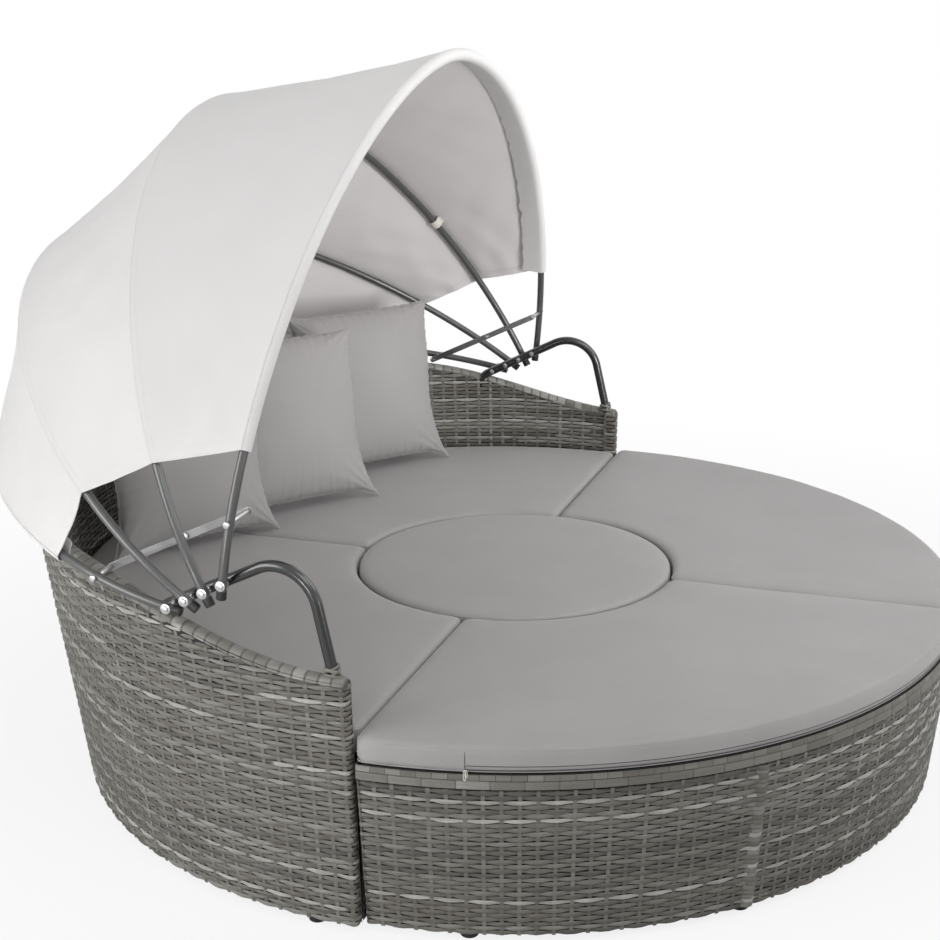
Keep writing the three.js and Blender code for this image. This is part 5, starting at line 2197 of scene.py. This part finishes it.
def cloth_shares(columns: int) -> Array:
    """Shares of the way from hem to hem, closer together at the two stitched hems."""
    near = np.array(HEM_STEPS) / CLOTH_LENGTH
    return np.concatenate([near, np.linspace(near[-1], 1 - near[-1], columns)[1:-1], 1 - near[::-1]])


@dataclass
class CoverPanel:
    """Cloth stretched between two bows, slightly sagging and crinkled."""

    name: str
    node: str
    front: Bow
    rear: Bow
    body: str
    seed: int
    columns: int = 250
    rows: int = 14
    sag: float = 0.008
    middle: float = 0.01125
    above_tube: float = 0.0115
    thickness: float = 0.0016
    doubled: float = 0.0009
    apart: float = 0.0004

    def _surface(self) -> tuple[Array, Array]:
        """Points of the cloth's middle surface by column and row, and their shares of the way rearward.

        Returns:
            The points and the shares.
        """
        shares = cloth_shares(self.columns)
        edges = [self._edge(bow, shares) for bow in (self.front, self.rear)]
        gap = np.linalg.norm(edges[1] - edges[0], axis=1)[:, None]
        near = np.array(SEAM_STEPS)[None, :] / gap
        inner = np.linspace(0, 1, self.rows)[None, 1:-1] * (1 - 2 * near[:, -1:]) + near[:, -1:]
        share = np.concatenate([near, inner, 1 - near[:, ::-1]], axis=1)
        depth = self._depth(shares[:, None], share, gap)
        margin = self.apart / gap
        share = margin + share * (1 - 2 * margin)
        grid = edges[0][:, None] * (1 - share)[..., None] + edges[1][:, None] * share[..., None]
        hub = (np.array(self.front.pivot) + np.array(self.rear.pivot)) / 2
        inward = np.stack([-grid[..., 0], hub[0] - grid[..., 1], hub[1] - grid[..., 2]], axis=-1)
        inward /= np.linalg.norm(inward, axis=-1, keepdims=True)
        return grid + inward * depth[..., None], share

    def _edge(self, bow: Bow, shares: Array) -> Array:
        """The cloth's line over a bow, from hem to hem."""
        across, away, out = bow.hem_to_hem(shares)
        return bow.lifted(across + out[:, 0] * self.middle, away + out[:, 1] * self.middle)

    def _depth(self, place: Array, share: Array, gap: Array) -> Array:
        """How far the cloth lies inside the straight lines between its bows.

        Args:
            place: Shares of the way from hem to hem.
            share: Shares of the way rearward.
            gap: Distance between the bows at each place.

        Returns:
            The depth at each column and row.
        """
        depth = self.sag * 4 * share * (1 - share)
        random = np.random.default_rng(self.seed)
        for _ in range(9):
            lean, phase = random.uniform(-3, 3), random.uniform(0, 2 * math.pi)
            waves = random.uniform(5, 17)
            fold = np.sin(2 * math.pi * (waves * place + lean * share) + phase)
            depth = depth + 0.0005 * fold * np.sin(math.pi * share) ** 0.8
        from_hem = np.minimum(place, 1 - place) * CLOTH_LENGTH
        from_seam = np.minimum(share, 1 - share) * gap
        hem = np.clip((HEM_WIDTH - from_hem) / 0.0012 + 0.5, 0, 1)
        hem = hem * np.sin(np.clip(share, 0, 1) * math.pi) ** 0.25
        seam = np.clip((SEAM_WIDTH - from_seam) / 0.0010 + 0.5, 0, 1) * np.clip(from_seam / 0.0012, 0, 1)
        return depth - self.doubled * np.maximum(hem, 0.7 * seam)

    def _rear_turn(self, edge: Array) -> Array:
        """Shares of the front bow's turn that keep the rear edge next to the rear bow when folded.

        Args:
            edge: Points of the rear edge.

        Returns:
            A share for each point.
        """
        front, rear = np.array(self.front.pivot), np.array(self.rear.pivot)
        turn = math.radians(self.rear.fold)
        about = edge[:, 1:] - rear
        folded = np.stack([about[:, 0] * math.cos(turn) + about[:, 1] * math.sin(turn),
                           about[:, 1] * math.cos(turn) - about[:, 0] * math.sin(turn)], axis=1) + rear
        at_fold = math.radians(self.rear.angle) - turn
        folded += self.above_tube * (turn > 0) * np.array([-math.sin(at_fold), math.cos(at_fold)])
        before, after = edge[:, 1:] - front, folded - front
        turned = np.arctan2(before[:, 1], before[:, 0]) - np.arctan2(after[:, 1], after[:, 0])
        return turned / math.radians(self.front.fold)

    def build(self) -> None:
        """Makes the panel and works out how far each point would follow its bows; the weights are not
        applied.
        """
        grid, share = self._surface()
        columns, rows = share.shape
        points = grid.reshape(-1, 3)
        faces = quads(columns, rows)[:, [0, 3, 2, 1]]
        # The inner shell gets the lighter copy of the cloth, painted light through the cloth.
        panel = from_points(self.name, points, faces, Finish.COVER, Finish.COVER_BACK_PAINTED_LIGHT)
        across = np.linalg.norm(np.diff(grid, axis=0), axis=2).sum(axis=0).max()
        down = np.linalg.norm(np.diff(grid, axis=1), axis=2).sum(axis=1).max()
        shell = panel.modifiers.new("thickness", "SOLIDIFY")
        shell.thickness, shell.offset, shell.material_offset = self.thickness, 0, 1
        apply_modifiers(panel)
        smooth(panel, 50)
        weights = (1 - share * (1 - self._rear_turn(grid[:, -1]))[:, None]).ravel()
        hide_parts(self.node)
        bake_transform(panel)
        total = len(panel.data.vertices)
        if total < 2 * len(points):
            raise RuntimeError(f"{self.name}: the cloth lost points")
        own = self._nearest(panel, points, weights)
        log.info("%s follows its bows", panel.name)

    @staticmethod
    def _nearest(panel: Piece, points: Array, weights: Array) -> Array:
        """Weight of each point of the thickened cloth, from the nearest point of its middle surface.

        Args:
            panel: The thickened cloth.
            points: Points of its middle surface.
            weights: Their weights.

        Returns:
            A weight for each point of the panel.
        """
        tree = KDTree(len(points))
        for index, point in enumerate(LAYOUT.in_row(points)):
            tree.insert(point, index)
        tree.balance()
        return np.array([weights[tree.find(vertex.co)[1]] for vertex in panel.data.vertices])


@dataclass
class CoverPocket:
    """The cover's edge, folded round a bow and stitched back inside."""

    name: str
    node: str
    bow: Bow
    facing: int
    seed: int
    depth: float = 0.043
    beyond: Bow | None = None
    columns: int = 260
    outer: float = 0.0123
    inner: float = 0.0102
    drop: float = 0.003
    under_panel: float = 0.0018

    def _tail(self, away: Array) -> Array:
        """Heights of the flap's free edge over the bow's line, close under the panel if there is one.

        Args:
            away: Distances from the pivots.

        Returns:
            The height at each.
        """
        if self.beyond is None:
            return np.full(len(away), -self.inner - self.drop)
        half = math.radians(abs(self.bow.angle - self.beyond.angle)) / 2
        share = self.depth / (2 * away * math.sin(half))
        sag = CoverPanel.sag * 4 * share * (1 - share)
        return CoverPanel.middle - self.depth * math.tan(half) - sag - self.under_panel

    def build(self) -> None:
        """Makes the pocket with its stitched edge."""
        place = cloth_shares(self.columns)
        columns = len(place)
        across, away, out = self.bow.hem_to_hem(place)
        turns = np.linspace(0, math.pi, 11)
        random = np.random.default_rng(self.seed)
        section: list[tuple[float, float]] = [(0.0004, self.outer)]
        section += [(math.sin(t) * self.outer, math.cos(t) * self.outer) for t in turns[1:]]
        flap = len(section)
        section += [(-self.depth * share, 0.0) for share in (0.5, 1, 1, 0.5)]
        tail = self._tail(away)
        under = ((tail - self.outer) / 2 - 0.0006, tail - 0.0014, tail, (tail - self.inner) / 2)
        section += [(math.sin(t) * self.inner, math.cos(t) * self.inner) for t in turns[::-1][:-1]]
        section.append((0.0004, self.inner))
        size = len(section)
        points = np.empty((columns, size, 3))
        waves, phases = random.uniform(20, 60, 5), random.uniform(0, 6, 5)
        crinkle = sum(np.sin(2 * math.pi * wave * place + phase) for wave, phase in zip(waves, phases))
        for k, (ahead, up) in enumerate(section):
            free = np.clip(-ahead / self.depth, 0, 1)
            level = under[k - flap] if flap <= k < flap + 4 else up
            lift = level + 0.0002 * crinkle * free
            forward = ahead * self.facing * (1 + 0.035 * crinkle * free)
            points[:, k] = self.bow.lifted(across + out[:, 0] * lift, away + out[:, 1] * lift, forward)
        pocket = from_points(self.name, points.reshape(-1, 3), tube_faces(columns, size), Finish.COVER)
        cleaned(pocket)
        smooth(pocket, 50)
        hand_over(pocket, self.bow.body, "cover_fabric", self.node)
        width = float(np.linalg.norm(np.diff(points[:, 0], axis=0), axis=1).sum())
        length = self.outer * math.pi + self.depth


@dataclass
class Straps:
    """Webbing loops that hold the cover on the middle bow."""

    bow: Bow
    width: float = 0.021
    inner: float = 0.0086
    thickness: float = 0.0012
    shift: int = 14

    WING = ((0.0195, 0.0036), (0.0160, 0.0046), (0.0138, 0.0042), (0.0122, 0.0018))

    def build(self) -> None:
        """Makes a loop round the bow on each side, where the CAD loops are."""
        for side in Side:
            low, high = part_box(f"cover_strap_{side.label}")
            target = (np.array(low) + np.array(high)) / 2 - LAYOUT.in_row(np.zeros(3))
            across, away = self.bow.flat(2000)
            line = self.bow.lifted(across, away)
            nearest = int(np.argmin(np.linalg.norm(line - target, axis=1))) + side.value * -self.shift
            along = Vector(line[nearest + 5] - line[nearest - 5]).normalized()
            angle = math.radians(self.bow.angle)
            ahead = Vector((0.0, -math.sin(angle), math.cos(angle)))
            out = along.cross(ahead) * -side.value
            section = [(-x, y) for x, y in self.WING]
            middle = self.inner + self.thickness / 2
            turns = np.linspace(math.pi, 2 * math.pi, 17)
            section += [(1.25 * middle * math.cos(t), middle * math.sin(t)) for t in turns]
            section += self.WING[::-1]
            points = [ahead * x + out * y + along * end
                      for end in (-self.width / 2, self.width / 2) for x, y in section]
            faces = quads(2, len(section))
            loop = from_points("loop", np.array(points) + line[nearest], faces, Finish.WEBBING)
            shell = loop.modifiers.new("thickness", "SOLIDIFY")
            shell.thickness, shell.offset = self.thickness, 0
            bevelled(loop, 0.0003, 2)
            loop.name = loop.data.name = f"cover_loop_{side.label}"
            smooth(loop, 40)
            hand_over(loop, self.bow.body, "webbing", f"cover_strap_{side.label}")


def build_cover() -> None:
    """Makes the three panels, the two pockets and the loops."""
    bows = list(BOWS.values())
    for seed, (label, front, rear) in enumerate(zip(("front", "middle", "rear"), bows, bows[1:]), 3):
        CoverPanel(f"cover_{label}_cloth", f"cover_{label}_panel", front, rear, front.body, seed).build()
    first, second, *_, last = bows
    CoverPocket("cover_front_hem", "cover_front_pocket", first, facing=1, seed=6, beyond=second).build()
    CoverPocket("cover_rear_hem", "cover_rear_pocket", last, facing=-1, seed=7, depth=0.024).build()
    Straps(BOWS["middle"]).build()


# studio


@dataclass
class Studio:
    """Plain white floor and backdrop, soft lamps, and the camera at the photograph's angle."""

    position: Triple = (-3.3822, -1.0418 + LAYOUT.centre_y, 1.6319)
    azimuth: float = -72.38
    elevation: float = 16.65
    lens: float = 68.66
    shift: float = -0.0319

    def _floor(self) -> None:
        """A wide floor that shows white and keeps a soft shadow."""
        deselect()
        bpy.ops.mesh.primitive_plane_add(size=60, location=(0, 0, -0.0005))
        floor = bpy.context.object
        floor.name = "studio_floor"
        nodes = Nodes("studio_floor")
        nodes.plain(Roughness=0.9, Base__Color=(0.86, 0.86, 0.86, 1))
        glow = nodes.add("ShaderNodeEmission", Strength=1.0)
        ray = nodes.add("ShaderNodeLightPath")
        coordinates = nodes.add("ShaderNodeTexCoord")
        distance = nodes.add("ShaderNodeVectorMath", operation="LENGTH")
        nodes.link(coordinates.outputs["Object"], distance.inputs[0])
        fade = nodes.add("ShaderNodeMapRange", From__Min=1.0, From__Max=2.6, To__Min=0.84, To__Max=1.0)
        nodes.link(distance.outputs["Value"], fade.inputs["Value"])
        share = nodes.combined("MULTIPLY", ray.outputs["Is Camera Ray"], fade.outputs["Result"])
        nodes.mix(share, nodes.shader, glow, "Material Output")
        floor.data.materials.append(nodes.material)

    def _world(self) -> None:
        """A dim even light that shows as white to the camera and in reflections."""
        world = bpy.data.worlds.new("studio")
        bpy.context.scene.world = world
        nodes = Tree(world)
        light = nodes.tree.nodes["Background"]
        light.inputs["Color"].default_value = (1, 1, 1, 1)
        light.inputs["Strength"].default_value = 0.40
        white = nodes.add("ShaderNodeBackground", Color=(1, 1, 1, 1), Strength=1.0)
        ray = nodes.add("ShaderNodeLightPath")
        seen = nodes.combined("ADD", ray.outputs["Is Camera Ray"], ray.outputs["Is Glossy Ray"])
        nodes.mix(seen, light, white, "World Output")

    @staticmethod
    def _lamp(name: str, place: Triple, target: Triple, size: float, power: float,
              spread: float = 180) -> None:
        """A square lamp that faces a place, with its light kept within an angle.

        Args:
            name: The lamp's name.
            place: Where it stands.
            target: The place that it faces.
            size: Its side.
            power: Its power in watts.
            spread: Angle of its light, in degrees.
        """
        deselect()
        bpy.ops.object.light_add(type="AREA", location=place)
        lamp = bpy.context.object
        lamp.name = name
        lamp.data.size = size
        lamp.data.energy = power
        lamp.data.spread = math.radians(spread)
        lamp.rotation_euler = (Vector(target) - Vector(place)).to_track_quat("-Z", "Y").to_euler()

    def _camera(self) -> None:
        """The camera at the photograph's angle."""
        deselect()
        bpy.ops.object.camera_add()
        camera = bpy.context.object
        camera.name = "studio_camera"
        a, e = math.radians(self.azimuth), math.radians(self.elevation)
        back = Vector((math.sin(a) * math.cos(e), -math.cos(a) * math.cos(e), math.sin(e)))
        right = Vector((math.cos(a), math.sin(a), 0))
        up = back.cross(right)
        turn = Matrix((right, up, back)).transposed().to_4x4()
        camera.matrix_world = Matrix.Translation(self.position) @ turn
        camera.data.sensor_width = 36
        camera.data.lens = self.lens
        camera.data.shift_x = self.shift
        bpy.context.scene.camera = camera

    def build(self) -> None:
        """Sets the floor, world, lamps and camera."""
        self._floor()
        self._world()
        self._lamp("key", (-3.9, 3.4, 2.1), (-0.4, 0, 0.4), size=3.0, power=128)
        self._lamp("inside", (-0.9, -2.5, 1.1), (0.6, 0.1, 1.2), size=1.0, power=7, spread=60)
        self._lamp("seat", (0.5, -1.9, 2.5), (0, 0.5, 0.5), size=1.6, power=8, spread=100)
        self._lamp("fill", (3.8, -1.4, 3.4), (0, 0, 0.5), size=3.5, power=6)
        self._lamp("arm", (-4.2, 0.9, 0.35), (-0.88, 0.25, 0.33), size=0.8, power=0.85, spread=26)
        self._lamp("top", (-2.6, -2.4, 4.6), (0, 0, 0.4), size=2.6, power=62)
        self._camera()
        bpy.context.scene.view_settings.view_transform = "Standard"


# the whole


def finish_decks() -> None:
    """Gives the hidden decks, which keep their CAD solids, the painted shade of the weave's inside."""
    for name in ("front_left_deck", "front_right_deck", "stool_deck", "back_deck"):
        dressed(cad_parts[name], Finish.INSIDE)
        log.info("%s keeps its solid", name)


def main() -> None:
    """Builds the daybed's sub-assemblies in order and sets the studio."""
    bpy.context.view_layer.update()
    finish_decks()
    QuarterBase(Quarter.FRONT_LEFT, seed=11).build()
    QuarterBase(Quarter.FRONT_RIGHT, seed=21).build()
    StoolBase().build()
    SofaBase().build()
    for seed, quarter in enumerate(Quarter):
        quarter_cushion(quarter, 60 + seed).build()
    stool_cushion().build()
    Pillow("pillow_left", x=-0.135, y=0.662, yaw=-32, lean=10, seed=91).build()
    Pillow("pillow_middle", x=0.159, y=0.555, yaw=-37, lean=15, seed=92).build()
    Pillow("pillow_right", x=0.512, y=0.504, yaw=-36, lean=12, seed=93).build()
    ARM.build()
    for bow in BOWS.values():
        bow.build()
    Stays().build()
    build_cover()
    Studio().build()


if __name__ == "__main__":
    main()
